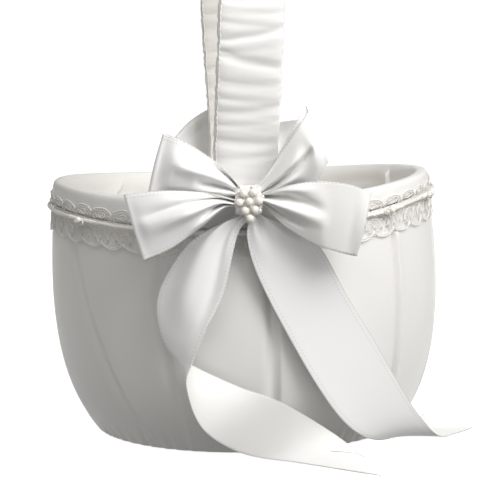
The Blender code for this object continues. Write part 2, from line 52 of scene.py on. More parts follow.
# Bowl, as in the frame: the wall swells from the base and draws in a little under the rim, which leans to
# one side and dips at the handle's ends. Its rise differs between the cord and the top of the roll.
BELLY_RADIUS = 82.0
FOOT_RADIUS = 64.0
CORD_HEIGHT = 95.0
WALL_POWER = 4.3
RIM_TUCK = 2.6
TUCK_START = 50.0
RIM_SHIFT = -1.7
CORD_SADDLE = 3.8
CORD_LEAN = 2.7
TOP_SADDLE = 2.4
TOP_LEAN = 1.0
TURN_UNDER_RADIUS = 52.5
LINING_DEPTH = 6.1
LINING_FLOOR = 6.6

# Padded roll on the rim.
ROLL_RADIUS = 76.8
ROLL_RISE = 5.5
ROLL_HALF_WIDTH = 2.9
ROLL_HALF_HEIGHT = 5.0

# Lace band: (height above the cord, radius) down its outer face.
LACE_FACE = (
    (7.2, 80.3), (6.0, 80.4), (1.0, 80.2), (-2.0, 80.45), (-5.0, 80.75), (-10.0, 81.2), (-14.0, 81.6),
)
LACE_REPEATS = 43
LACE_RADIUS = 80.5
NET_PITCH = 2.0

# Cord under the roll, with a pearl knot at each of these turns.
CORD_RING = 81.4
CORD_RADIUS = 0.8
PEARL_TURNS = (43, 68, 100, 126, -54, -104, -126, -148)

# Handle strap: (distance from the middle plane, height) from a foot to the top.
STRAP_ROUTE = (
    (71.2, 60), (71.2, 78), (70.2, 87), (69.3, 95), (70.6, 105), (74.4, 122),
    (79, 146), (81, 170), (79.3, 195), (71, 218), (55, 237), (30, 249), (0, 253),
)
STRAP_OFFSET = -1.5
STRAP_TWIST = 1.4
TWIST_HEIGHT = 152.0
TWIST_SPAN = 28.0
STRAP_HALF_WIDTH = 12.3
STRAP_HALF_THICKNESS = 1.75

# Bows.
BOW_HEIGHT = 104.5
KNOT_Y = -89.0
TIE_HEIGHT = 106.5
BROOCH_FACE = -94.9
RIBBON_THICKNESS = 0.28
RIBBON_WIDTH = 25.0
STITCH_PITCH = 1.5


# ---------------------------------------------------------------- small tools

def spline(points, count):
    """Points read evenly from a smooth curve through the given ones, as an array."""
    knots = np.array(points, float)
    knots = np.vstack([2 * knots[0] - knots[1], knots, 2 * knots[-1] - knots[-2]])
    place = np.linspace(0, len(knots) - 3, count)
    span = np.minimum(place.astype(int), len(knots) - 4)
    t = (place - span)[:, None]
    a, b, c, d = (knots[span + step] for step in range(4))
    steep = 3 * b - a - 3 * c + d
    return 0.5 * (2 * b + (c - a) * t + (2 * a - 5 * b + 4 * c - d) * t ** 2 + steep * t ** 3)


def even(path, count):
    """The same open path with its points spaced evenly along it."""
    steps = np.linalg.norm(np.diff(path, axis=0), axis=1)
    along = np.concatenate([[0], np.cumsum(steps)])
    wanted = np.linspace(0, along[-1], count)
    return np.column_stack([np.interp(wanted, along, path[:, axis]) for axis in range(path.shape[1])])


def length_of(path):
    return float(np.linalg.norm(np.diff(path, axis=0), axis=1).sum())


def unit(vectors):
    return vectors / np.maximum(np.linalg.norm(vectors, axis=-1, keepdims=True), 1e-9)


def smooth(low, high, value):
    """0 below low, 1 above high, with an even turn between them."""
    t = np.clip((value - low) / (high - low), 0, 1)
    return t * t * (3 - 2 * t)


def bump(distance, width):
    """A rounded hump, 1 in the middle and 0 beyond about twice its width."""
    return np.exp(-(distance / width) ** 2)


def waves(place, seed, pitch, count=6):
    """Smooth irregular waves of about one pitch, between -1 and 1."""
    draw = np.random.default_rng(seed)
    total = np.zeros_like(np.asarray(place, float))
    for _ in range(count):
        total += np.sin(place * 2 * math.pi / (pitch * draw.uniform(0.6, 1.7)) + draw.uniform(0, 2 * math.pi))
    return total / count ** 0.5 / 1.6


def ring_waves(turn, seed, low, high, count=7):
    """Smooth irregular waves that close on themselves round the bowl; turn is in radians."""
    draw = np.random.default_rng(seed)
    total = np.zeros_like(turn)
    for _ in range(count):
        total += np.sin(turn * draw.integers(low, high) + draw.uniform(0, 2 * math.pi))
    return total / count ** 0.5 / 1.6


class Build:
    """Collects grids, tubes and beads, in mm, into one mesh with a UV map in metres."""

    def __init__(self):
        self.points, self.faces, self.uvs, self.count = [], [], [], 0

    def grid(self, points, wrap_u=False, wrap_v=False, size=(1.0, 1.0), flip=False):
        """A grid of points (u, v, 3); its front side is that of the u direction crossed with v."""
        rows, columns = points.shape[:2]
        i, j = np.meshgrid(np.arange(rows if wrap_u else rows - 1),
                           np.arange(columns if wrap_v else columns - 1), indexing="ij")
        i, j = i.ravel(), j.ravel()
        corners = ((0, 0), (1, 0), (1, 1), (0, 1))
        if flip:
            corners = corners[::-1]
        quads = [((i + a) % rows) * columns + (j + b) % columns for a, b in corners]
        u_step = size[0] / (rows if wrap_u else rows - 1)
        v_step = size[1] / (columns if wrap_v else columns - 1)
        places = [np.column_stack([(i + a) * u_step, (j + b) * v_step]) for a, b in corners]
        self.points.append(points.reshape(-1, 3))
        self.faces += (np.column_stack(quads) + self.count).tolist()
        self.uvs.append(np.stack(places, axis=1).reshape(-1, 2) * MM)
        self.count += rows * columns

    def cap(self, ring):
        """A face over the points of the last grid that have these places in it."""
        self.faces.append([int(place) for place in ring])
        self.uvs.append(np.zeros((len(ring), 2)))

    def tube(self, path, radius, normal, sides=6, closed=False, width=1.0):
        """A tube along a path; normal is the direction, one or one a point, that its section stands on."""
        path = np.asarray(path, float)
        if closed:
            along = unit(np.roll(path, -1, axis=0) - np.roll(path, 1, axis=0))
        else:
            along = unit(np.gradient(path, axis=0))
        normal = np.broadcast_to(np.asarray(normal, float), path.shape)
        side = unit(np.cross(along, normal))
        up = np.cross(side, along)
        angle = np.arange(sides) * 2 * math.pi / sides
        radius = np.broadcast_to(np.asarray(radius, float), len(path))[:, None, None]
        offset = (side[:, None, :] * np.cos(angle)[None, :, None] * width
                  + up[:, None, :] * np.sin(angle)[None, :, None])
        start = self.count
        self.grid(path[:, None, :] + offset * radius, wrap_u=closed, wrap_v=True,
                  size=(len(path), 2 * math.pi * float(radius.mean())))
        if not closed:
            self.cap(start + np.arange(sides))
            self.cap(start + (len(path) - 1) * sides + np.arange(sides)[::-1])

    def bead(self, middle, radius, sides=16):
        """A round bead with a small face at each pole."""
        rings = sides // 2
        tilt = math.pi * (np.arange(rings) + 0.5) / rings
        turn = 2 * math.pi * np.arange(sides) / sides
        points = np.stack([np.sin(tilt)[:, None] * np.cos(turn), np.sin(tilt)[:, None] * np.sin(turn),
                           np.cos(tilt)[:, None] * np.ones(sides)], axis=-1)
        start = self.count
        self.grid(points * radius + np.array(middle, float), wrap_v=True,
                  size=(radius * math.pi, radius * 2 * math.pi))
        self.cap(start + np.arange(sides))
        self.cap(start + (rings - 1) * sides + np.arange(sides)[::-1])

    def make(self, name, finish, slot, nodes=()):
        """The finished object, riding on the basket's only body."""
        mesh = bpy.data.meshes.new(name)
        mesh.from_pydata(np.concatenate(self.points) * MM, [], self.faces)
        layer = mesh.uv_layers.new(name="UVMap")
        layer.uv.foreach_set("vector", np.concatenate(self.uvs).ravel().astype(np.float32))
        mesh.validate()
        mesh.shade_smooth()
        mesh.materials.append(finish)
        piece = bpy.data.objects.new(name, mesh)
        bpy.context.scene.collection.objects.link(piece)
        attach(piece, "root")
        if nodes:
            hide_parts(*nodes)
        return piece


def thicken(piece, thickness, offset=-1.0, reverse=None):
    """Give a sheet its thickness in mm; reverse is the material of its other side."""
    solid = piece.modifiers.new("thickness", "SOLIDIFY")
    solid.thickness = thickness * MM
    solid.offset = offset
    if reverse:
        piece.data.materials.append(reverse)
        solid.material_offset = 1


def round_points(turn, radius, height):
    """Points at turns (radians), radii and heights, as an array of the same shape with x, y, z."""
    turn, radius, height = np.broadcast_arrays(turn, radius, height)
    return np.stack([radius * np.sin(turn), -radius * np.cos(turn), height], axis=-1)


def wall_radius(height):
    left = np.maximum(1.0 - height / CORD_HEIGHT, 0)
    tuck = np.clip((height - TUCK_START) / (CORD_HEIGHT - TUCK_START), 0, 1)
    return BELLY_RADIUS - (BELLY_RADIUS - FOOT_RADIUS) * left ** WALL_POWER - RIM_TUCK * tuck ** 2


def on_bowl(turn, radius, height):
    """Points round the bowl, moved by their share of the rim's rise and shift: all of it at the cord."""
    turn, radius, height = np.broadcast_arrays(turn, radius, height)
    above = np.clip((height - CORD_HEIGHT) / (ROLL_RISE + ROLL_HALF_HEIGHT), 0, 1)
    lean = CORD_LEAN + (TOP_LEAN - CORD_LEAN) * above
    saddle = CORD_SADDLE + (TOP_SADDLE - CORD_SADDLE) * above
    share = np.clip(height / CORD_HEIGHT, 0, 1) ** 1.5
    points = round_points(turn, radius, height + share * (lean * np.sin(turn) - saddle * np.cos(2 * turn)))
    points[..., 0] += share * RIM_SHIFT
    return points


# ---------------------------------------------------------------- materials

class Nodes:
    """A material's node tree, built a node at a time."""

    def __init__(self, name):
        self.material = bpy.data.materials.new(name)
        self.material.use_nodes = True
        self.tree = self.material.node_tree
        self.shader = self.tree.nodes["Principled BSDF"]

    def add(self, kind, inputs=None, **settings):
        node = self.tree.nodes.new(kind)
        for key, value in settings.items():
            setattr(node, key, value)
        for key, value in (inputs or {}).items():
            self.put(node.inputs[key], value)
        return node

    def put(self, socket, value):
        if isinstance(value, bpy.types.NodeSocket):
            self.tree.links.new(value, socket)
        else:
            socket.default_value = value

    def math(self, operation, first, second=0.0):
        return self.add("ShaderNodeMath", {0: first, 1: second}, operation=operation).outputs[0]

    def noise(self, place, scale, detail=2.0, roughness=0.5):
        return self.add("ShaderNodeTexNoise", {"Vector": place, "Scale": scale, "Detail": detail,
                                               "Roughness": roughness}).outputs["Fac"]

    def span(self, value, low, high):
        """The value, 0 to 1, spread between two others."""
        return self.add("ShaderNodeMapRange", {0: value, 3: low, 4: high}).outputs[0]

    def blend(self, factor, first, second):
        mix = self.add("ShaderNodeMix", data_type="RGBA")
        self.put(mix.inputs[0], factor)
        self.put(mix.inputs[6], (*first, 1.0))
        self.put(mix.inputs[7], (*second, 1.0))
        return mix.outputs[2]

    def bump(self, height, strength, distance, before=None):
        node = self.add("ShaderNodeBump", {"Height": height, "Strength": strength, "Distance": distance})
        if before:
            self.put(node.inputs["Normal"], before)
        return node.outputs[0]

    def finish(self, colour, roughness, normal=None, **sockets):
        self.put(self.shader.inputs["Base Color"], colour)
        self.put(self.shader.inputs["Roughness"], roughness)
        if normal:
            self.put(self.shader.inputs["Normal"], normal)
        for key, value in sockets.items():
            self.shader.inputs[key.replace("_", " ")].default_value = value
        return self.material


def satin(name, light, dark, rough, pitch=0.32, sheen=0.15, gloss=0.5, slub=0.3):
    """Woven satin: long floats across the UV map, faint slubs and a soft mottle in tone and gloss."""
    nodes = Nodes(name)
    uv = nodes.add("ShaderNodeTexCoord").outputs["UV"]
    place = nodes.add("ShaderNodeTexCoord").outputs["Object"]
    split = nodes.add("ShaderNodeSeparateXYZ", {0: uv})
    turns = 2 * math.pi / (pitch * MM)
    warp = nodes.math("SINE", nodes.math("MULTIPLY", split.outputs[0], turns))
    weft = nodes.math("SINE", nodes.math("MULTIPLY", split.outputs[1], turns * 0.62))
    stretched = nodes.add("ShaderNodeMapping", {0: uv, 3: (260.0, 2600.0, 1.0)})
    slubs = nodes.noise(stretched.outputs[0], 1.0, 3.0)
    weave = nodes.math("ADD", nodes.math("MULTIPLY", warp, weft), nodes.math("MULTIPLY", slubs, 3.0))
    mottle = nodes.noise(place, 90.0, 4.0, 0.6)
    cloud = nodes.noise(place, 22.0, 2.0)
    normal = nodes.bump(mottle, 0.10, 0.0006)
    normal = nodes.bump(weave, slub, 0.00002, normal)
    colour = nodes.blend(nodes.span(cloud, 0.25, 0.75), light, dark)
    return nodes.finish(colour, nodes.span(mottle, rough - 0.05, rough + 0.06), normal,
                        Specular_IOR_Level=gloss, Sheen_Weight=sheen, Sheen_Roughness=0.4)


def thread(name, light, dark, rough, pitch=0.5):
    """Twisted yarn: fine slanting strands along a tube."""
    nodes = Nodes(name)
    place = nodes.add("ShaderNodeTexCoord").outputs["Object"]
    fine = nodes.noise(place, 1.0 / (pitch * MM), 2.0)
    tone = nodes.noise(place, 160.0, 2.0)
    return nodes.finish(nodes.blend(tone, light, dark), nodes.span(fine, rough - 0.08, rough + 0.1),
                        nodes.bump(fine, 0.35, 0.0001), Sheen_Weight=0.25, Sheen_Roughness=0.5)


def pearl(name):
    """Ivory pearl: a clear coat over a slightly cloudy, warm body, painted paler towards its rim as seen, a
    painted sheen.
    """
    nodes = Nodes(name)
    place = nodes.add("ShaderNodeTexCoord").outputs["Object"]
    cloud = nodes.noise(place, 380.0, 3.0)
    grain = nodes.noise(place, 2600.0, 2.0)
    # Paler where the surface turns away from the view: painted sheen, mixed with the random cloud.
    facing = nodes.add("ShaderNodeLayerWeight", {0: 0.35}).outputs["Facing"]
    tone_and_rim_sheen = nodes.math("ADD", nodes.math("MULTIPLY", cloud, 0.4), nodes.math("MULTIPLY", facing, 0.6))
    body = nodes.blend(tone_and_rim_sheen, (0.93, 0.895, 0.81), (0.96, 0.925, 0.87))
    return nodes.finish(body, nodes.span(cloud, 0.16, 0.27), nodes.bump(grain, 0.04, 0.00005),
                        Coat_Weight=0.7, Coat_Roughness=0.08, Specular_IOR_Level=0.6)


def board(name, light, dark, fibre):
    """Pressed board or card: fibres and specks."""
    nodes = Nodes(name)
    place = nodes.add("ShaderNodeTexCoord").outputs["Object"]
    stretched = nodes.add("ShaderNodeMapping", {0: place, 3: (fibre, fibre * 0.3, fibre)}).outputs[0]
    fibres = nodes.noise(stretched, 1.0, 5.0, 0.65)
    specks = nodes.noise(place, 900.0, 2.0)
    return nodes.finish(nodes.blend(fibres, light, dark), nodes.span(fibres, 0.7, 0.9),
                        nodes.bump(specks, 0.3, 0.0002))


def metal(name):
    """Plated rivet: small scratches."""
    nodes = Nodes(name)
    place = nodes.add("ShaderNodeTexCoord").outputs["Object"]
    scratches = nodes.noise(place, 1400.0, 4.0, 0.7)
    return nodes.finish(nodes.blend(scratches, (0.74, 0.73, 0.70), (0.6, 0.59, 0.57)),
                        nodes.span(scratches, 0.22, 0.42), nodes.bump(scratches, 0.15, 0.00005), Metallic=1.0)


FINISHES = {
    "cover": satin("cover satin", (0.90, 0.89, 0.87), (0.87, 0.86, 0.835), 0.46, gloss=0.42),
    "lining": satin("lining satin", (0.90, 0.89, 0.865), (0.865, 0.85, 0.82), 0.5, gloss=0.35),
    "roll": satin("rim satin", (0.89, 0.88, 0.86), (0.86, 0.85, 0.825), 0.45, gloss=0.42),
    "sleeve": satin("handle satin", (0.915, 0.91, 0.90), (0.895, 0.885, 0.865), 0.4, gloss=0.5),
    # The handle's inner face: the same satin painted darker and warmer, a painted shade for the shadow it
    # lies in.
    "under": satin("handle inner satin with painted shade", (0.84, 0.825, 0.78), (0.80, 0.785, 0.735), 0.5, gloss=0.35),
    "ribbon": satin("ribbon satin face", (0.93, 0.926, 0.92), (0.91, 0.905, 0.895), 0.34, 0.26, 0.2, 0.8),
    "reverse": satin("ribbon satin back", (0.92, 0.915, 0.90), (0.89, 0.88, 0.86), 0.55, 0.26, 0.3, 0.3, 0.5),
    # The selvage and seam thread is painted darker than the satin, a painted shade that outlines the ribbons'
    # edges and the handle's seam.
    "stitch_with_painted_shade": thread("selvage thread with painted edge shade", (0.80, 0.79, 0.78), (0.70, 0.69, 0.68), 0.5),
    "lace": thread("lace thread", (0.93, 0.92, 0.89), (0.88, 0.865, 0.83), 0.6),
    "cord": thread("cord yarn", (0.88, 0.86, 0.82), (0.82, 0.79, 0.74), 0.4, 0.35),
    "pearl": pearl("ivory pearl"),
    "board": board("moulded board", (0.82, 0.79, 0.73), (0.72, 0.68, 0.61), 350.0),
    "card": board("white card", (0.88, 0.86, 0.82), (0.8, 0.78, 0.73), 600.0),
    "wadding": board("wadding", (0.93, 0.93, 0.92), (0.85, 0.85, 0.84), 900.0),
    "strip": board("handle strip", (0.85, 0.85, 0.84), (0.78, 0.78, 0.77), 250.0),
    "rivet": metal("nickel rivet"),
}


# ---------------------------------------------------------------- bowl

# Lapped pleats of the cover: (turn in degrees at mid height, depth and groove width in mm, slant in
# degrees a mm).
PLEATS = (
    (6.5, 1.8, 2.2, 0.0), (47.0, 2.8, 0.95, 0.0), (79.0, 1.2, 2.2, 0.05), (113.0, 1.5, 1.8, 0.0),
    (149.0, 1.2, 2.6, -0.06), (-172.0, 1.6, 1.8, 0.04), (-134.0, 1.2, 2.4, 0.0), (-96.0, 1.2, 2.0, 0.08),
    (-48.0, 0.9, 2.4, -0.28), (-24.0, 0.8, 2.6, -0.05),
)
COVER_BOTTOM = 1.2


def pleat_shape(distance, width):
    """Section of a pleat along the wall, in shares of its depth: a groove, a steep lap and a run-out."""
    groove = -bump(distance + width, width)
    lap = 0.4 * smooth(-0.5, 0.7, distance) * np.exp(-np.maximum(distance - 0.7, 0) / (2.2 * width))
    return groove + lap


def outer_cover():
    columns, rows = 1080, 110
    turn = np.arange(columns) * 2 * math.pi / columns
    share = np.linspace(0, 1, rows)
    height = COVER_BOTTOM + (CORD_HEIGHT + 1.0 - COVER_BOTTOM) * (1 - share) ** 1.35
    t, h = np.meshgrid(turn, height, indexing="ij")
    radius = wall_radius(h)
    full = smooth(0, 16, h) * (1 - 0.9 * smooth(83, 88, h))
    for middle, depth, width, slant in PLEATS:
        line = math.radians(middle) + np.radians(slant) * (h - 45)
        away = (t - line + math.pi) % (2 * math.pi) - math.pi
        radius = radius + depth * full * pleat_shape(away * BELLY_RADIUS * 0.97, width)
    radius = radius + 0.24 * full * ring_waves(t + h * 0.0006, 3, 9, 20) * np.sin(h / CORD_HEIGHT * math.pi)
    gather = (1 - smooth(2, 14, h)) * 0.35 * ring_waves(t, 11, 60, 130)
    points = on_bowl(t, radius + gather, h)
    under = np.linspace(0.0, 1.0, 9)[1:]
    tu, su = np.meshgrid(turn, under, indexing="ij")
    foot = wall_radius(COVER_BOTTOM) - 0.6
    fold = foot - (foot - TURN_UNDER_RADIUS) * su
    pucker = ring_waves(tu, 11, 60, 130)
    tuck = round_points(tu, fold + 0.3 * pucker * (1 - su), 0.75 + 0.15 * ring_waves(tu, 5, 50, 90))
    tuck[..., 2] = np.maximum(tuck[..., 2] + 0.45 * (1 - su) ** 3, 0.45)
    made = Build()
    made.grid(np.concatenate([points, tuck], axis=1), wrap_u=True, size=(515.0, 122.0), flip=True)
    piece = made.make("cover_satin", FINISHES["cover"], "satin", ("outer_cover",))
    thicken(piece, 0.3)


# Lapped pleats of the lining: (turn in degrees, depth in mm, slant in degrees a mm).
LINING_PLEATS = (
    (-133.0, 2.0, -0.8), (113.0, 2.2, 0.15), (160.0, 0.8, 0.5), (-160.0, 0.7, 0.5), (60.0, 1.0, 0.0),
    (20.0, 0.9, 0.3), (-30.0, 1.0, -0.3), (-80.0, 0.9, 0.2),
)


def lining():
    """The satin inside: up the wall, over the inner face of the roll, and across the floor."""
    columns, rows = 720, 100
    turn = np.arange(columns) * 2 * math.pi / columns
    middle, top = CORD_HEIGHT + ROLL_RISE, CORD_HEIGHT + ROLL_RISE + ROLL_HALF_HEIGHT - 0.5
    height = LINING_FLOOR + (top - LINING_FLOOR) * np.linspace(1, 0, rows) ** 1.4
    t, h = np.meshgrid(turn, height, indexing="ij")
    slope = np.gradient(wall_radius(height), height)
    wall = wall_radius(height) - LINING_DEPTH * np.hypot(1, slope)
    rolled = ROLL_RADIUS - (ROLL_HALF_WIDTH + 0.35) * np.clip(1 - ((height - middle) / 5.4) ** 2, 0, 1) ** 0.5
    over = smooth(94, middle, height)
    radius = (wall * (1 - over) + rolled * over)[None, :]
    soft = smooth(LINING_FLOOR, 30, h) * (1 - smooth(88, 97, h) * 0.6) * (1 - smooth(99, 103.5, h))
    folds = 0.5 * ring_waves(t + (h - 50) * 0.0022, 21, 8, 20) + 0.2 * ring_waves(t - h * 0.003, 22, 24, 44)
    radius = radius - soft * np.clip(0.25 + folds, -0.1, 0.9)
    lap = smooth(20, 45, h) * (1 - smooth(98.5, 103, h))
    for place, depth, slant in LINING_PLEATS:
        line = math.radians(place) + np.radians(slant) * (h - 97)
        away = ((t - line + math.pi) % (2 * math.pi) - math.pi) * 73
        radius = radius - depth * lap * smooth(-0.4, 0.7, away) * np.exp(-np.maximum(away - 0.7, 0) / 5.0)
    sides = on_bowl(t, radius, h)
    inward = np.linspace(1, 0.02, 34)[1:]
    tf, sf = np.meshgrid(turn, inward, indexing="ij")
    floor_height = LINING_FLOOR + 0.22 * (1 + ring_waves(tf, 23, 12, 30)) * sf ** 3
    floor = round_points(tf, wall[-1] * sf, floor_height)
    made = Build()
    made.grid(np.concatenate([sides, floor], axis=1), wrap_u=True, size=(470.0, 155.0))
    made.cap(np.arange(columns) * (rows + 33) + rows + 32)
    piece = made.make("lining_satin", FINISHES["lining"], "satin", ("lining",))
    thicken(piece, 0.3)


def rim_roll():
    columns, rows = 900, 56
    turn = np.arange(columns) * 2 * math.pi / columns
    angle = np.arange(rows) * 2 * math.pi / rows
    t, a = np.meshgrid(turn, angle, indexing="ij")
    seam = bump(np.abs(a - math.pi) - 0.55, 0.35)
    pull = 1 + 0.03 * ring_waves(t, 31, 7, 20) * (1 - seam)
    pull = pull - 0.03 * seam * (1 + ring_waves(t + 0.2 * a, 32, 70, 140))
    pull = pull + 0.008 * ring_waves(t + 0.12 * np.sin(a), 33, 50, 90)
    across = np.sign(np.sin(a)) * np.abs(np.sin(a)) ** 0.62
    up = np.sign(np.cos(a)) * np.abs(np.cos(a)) ** 0.8
    radius = ROLL_RADIUS + ROLL_HALF_WIDTH * pull * across
    rise = ROLL_RISE + ROLL_HALF_HEIGHT * (0.5 + 0.5 * pull) * up
    made = Build()
    made.grid(on_bowl(t, radius, CORD_HEIGHT + rise), wrap_u=True, wrap_v=True, size=(500.0, 28.0))
    piece = made.make("rim_roll", FINISHES["roll"], "satin", ("rim_binding",))


# ---------------------------------------------------------------- lace, cord and pearls on it

def on_lace(turn, rise, out=0.0):
    """Points of the lace's face at turns (radians) and heights above the cord, and the way out there."""
    heights = [row[0] for row in LACE_FACE][::-1]
    radii = [row[1] for row in LACE_FACE][::-1]
    rise = rise + 0.22 * ring_waves(turn, 51, 9, 60)
    radius = np.interp(rise, heights, radii) + out
    return on_bowl(turn, radius, CORD_HEIGHT + rise), round_points(turn, 1.0, 0.0)


LACE_PITCH = 2 * math.pi / LACE_REPEATS


def lace_top(share):
    return 3.0 + 2.7 * np.abs(np.sin(math.pi * share)) ** 0.45


def lace_foot(share):
    return -7.4 - 2.3 * np.abs(np.sin(math.pi * (share + 0.5))) ** 0.7


def lace():
    made = Build()

    def run(share, rise, radius, sides=5, out=0.1, width=1.3):
        for repeat in range(LACE_REPEATS):
            points, way = on_lace((repeat + share) * LACE_PITCH, rise, out)
            made.tube(points, radius, way, sides, width=width)

    def ring(rise_of, radius, out=0.15):
        count = LACE_REPEATS * 22
        share = np.arange(count) / 22.0
        points, way = on_lace(share * LACE_PITCH, rise_of(share % 1.0), out)
        made.tube(points, radius, way, 6, closed=True, width=1.3)

    width = LACE_PITCH * LACE_RADIUS
    ring(lace_top, 0.22)
    ring(lambda share: lace_top(share) - 0.85, 0.12)
    ring(lace_foot, 0.2)
    ring(lambda share: lace_foot(share) + 0.8, 0.11)
    step = np.linspace(0, 1, 15)
    turn = step * 2 * math.pi
    run(0.5 + 1.9 / width * np.cos(turn), 3.1 + 0.9 * np.sin(turn), 0.17)
    run(0.5 + 0.9 / width * np.cos(turn), 2.6 + 0.45 * np.sin(turn), 0.13)
    for side in (-1, 1):
        curl = step * 1.35 * math.pi
        scroll = 0.5 + side * (3.9 - 1.2 * np.cos(curl)) / width
        run(scroll, 2.1 + 1.15 * np.sin(curl) * (1 - 0.3 * step), 0.14)
        run(0.5 + side * (5.2 - 3.2 * step) / width, -2.6 - 4.9 * step ** 1.6, 0.16)
    half = step * math.pi
    for reach, thick in ((4.3, 0.18), (3.5, 0.12), (1.2, 0.13)):
        run(0.5 + reach / width * np.cos(half), -6.6 + reach * np.sin(half), thick)
    for spoke in np.linspace(0.1, 0.9, 8):
        reach = np.linspace(1.2, 3.5, 5)
        lean = math.pi * spoke
        run(0.5 + reach / width * math.cos(lean), -6.6 + reach * math.sin(lean), 0.11, 4)
    for petal in (-1.9, 0.0, 1.9):
        run(0.5 + (petal + 0.6 * np.cos(turn)) / width, -7.9 + abs(petal) * 0.2 + 0.75 * np.sin(turn), 0.11)
    lace_net(made)
    made.make("lace_band", FINISHES["lace"], "lace", ("lace_trim",))


def lace_net(made):
    """The fine ground net: slanting threads both ways, kept between the two scalloped edges."""
    spacing = NET_PITCH / LACE_RADIUS
    count = int(round(2 * math.pi / spacing))
    rise = np.linspace(-9.6, 5.8, 13)
    for lean in (-1, 1):
        for number in range(count):
            turn = number * 2 * math.pi / count + lean * 0.62 * rise / LACE_RADIUS
            share = (turn / LACE_PITCH) % 1.0
            inside = (rise < lace_top(share) - 0.1) & (rise > lace_foot(share) + 0.1)
            if inside.sum() >= 3:
                points, way = on_lace(turn[inside], rise[inside], 0.02)
                made.tube(points, 0.045, way, 3)


def trim_cord():
    """A round satin cord under the roll; near each knot its two strands show, twisted round each other."""
    made = Build()
    count = 1500
    turn = np.arange(count) * 2 * math.pi / count
    ring = on_bowl(turn, CORD_RING, CORD_HEIGHT + 0.12 * ring_waves(turn, 61, 9, 40))
    radius = CORD_RADIUS + 0.05 * ring_waves(turn, 62, 40, 90)
    made.tube(ring, radius, round_points(turn, 1.0, 0.0), 12, closed=True)
    for angle in PEARL_TURNS:
        for side in (-1, 1):
            turn = math.radians(angle) + side * np.linspace(1.2, 9.0, 90) / CORD_RING
            twist = turn * 190
            for strand in (0.0, math.pi):
                radius = CORD_RING + 0.35 + 0.5 * np.cos(twist + strand)
                path = on_bowl(turn, radius, CORD_HEIGHT + 0.5 * np.sin(twist + strand))
                made.tube(path, 0.52, round_points(turn, 1.0, 0.0), 8)
    made.make("satin_cord", FINISHES["cord"], "cord", ("trim_cord",))


def cord_knots():
    """At each pearl the cord is tied in two small loops with a wrap between them."""
    knots = Build()
    pearls = Build()
    up = np.array([0, 0, 1.0])
    for angle in PEARL_TURNS:
        turn = math.radians(angle)
        out = np.array([math.sin(turn), -math.cos(turn), 0.0])
        across = np.array([math.cos(turn), math.sin(turn), 0.0])
        middle = on_bowl(turn, CORD_RING + 0.7, CORD_HEIGHT)
        step = np.linspace(0, 2 * math.pi, 34)
        for way, reach, drop in ((-1, 3.2, 0.1), (1, 2.6, 0.45)):
            swing = reach * 0.5 * (1 - np.cos(step))
            path = (middle + across * (way * swing)[:, None] + out * (0.5 + 0.3 * np.sin(step / 2))[:, None]
                    + up * (1.1 * np.sin(step) - drop * swing)[:, None])
            knots.tube(path, 0.34, out, 7)
        wrap = np.linspace(0, 6 * math.pi, 60)
        coil = (middle + across * (wrap / (6 * math.pi) * 1.5 - 0.75)[:, None]
                + out * (0.4 + 0.75 * np.cos(wrap))[:, None] + up * (0.9 * np.sin(wrap))[:, None])
        knots.tube(coil, 0.27, across, 6)
        pearls.bead(middle + out * 1.45 + across * 0.5 + up * 0.3, 1.3, 24)
        pearls.bead(middle + out * 1.0 - across * 1.8 - up * 0.3, 0.8, 16)
    knots.make("cord_knots", FINISHES["cord"], "cord")
    names = [f"cord_pearl_{word}_{number}" for word in ("left", "right") for number in (1, 2, 3, 4)]
    pearls.make("cord_pearls", FINISHES["pearl"], "pearl", names)


# ---------------------------------------------------------------- handle

def strap_shift(y, z):
    return STRAP_OFFSET - STRAP_TWIST * np.clip((z - TWIST_HEIGHT) / TWIST_SPAN, -1, 1) * y / 80


def strap_path(count):
    front = [(-y, z) for y, z in STRAP_ROUTE]
    rear = [(-y, z) for y, z in front[-2::-1]]
    flat = even(spline(front + rear, 1400), count)
    y, z = flat[:, 0], flat[:, 1]
    return np.column_stack([strap_shift(y, z), y, z])


# Creases across the handle's front: (height at its left edge, height at its right edge, depth, width in mm,
# how much of it fades out by its right edge, or by its left edge where negative).
HANDLE_CREASES = (
    (112.0, 111.0, 0.5, 2.0, 0.3), (119.5, 121.5, 0.5, 1.8, -0.4), (127.0, 125.5, 0.7, 2.2, 0.0),
    (133.0, 134.0, 0.4, 1.4, 0.8), (137.5, 139.5, 0.7, 2.0, -0.3), (143.5, 142.0, 0.5, 1.4, 0.9),
    (149.5, 147.5, 0.7, 2.2, 0.2), (160.0, 154.0, 1.1, 2.3, 0.1), (160.5, 162.5, 0.6, 1.6, 0.9),
    (165.0, 168.8, 1.0, 1.7, 0.2), (172.0, 170.0, 0.5, 1.5, 0.8), (176.0, 175.0, 0.5, 1.7, -0.6),
    (181.0, 180.5, 1.0, 2.4, 0.0), (189.0, 190.5, 0.7, 2.0, 0.4), (196.0, 198.0, 0.9, 2.2, -0.2),
    (206.0, 204.0, 0.8, 2.0, 0.3), (214.0, 216.0, 0.9, 2.4, 0.0), (226.0, 224.0, 0.8, 2.2, -0.4),
)


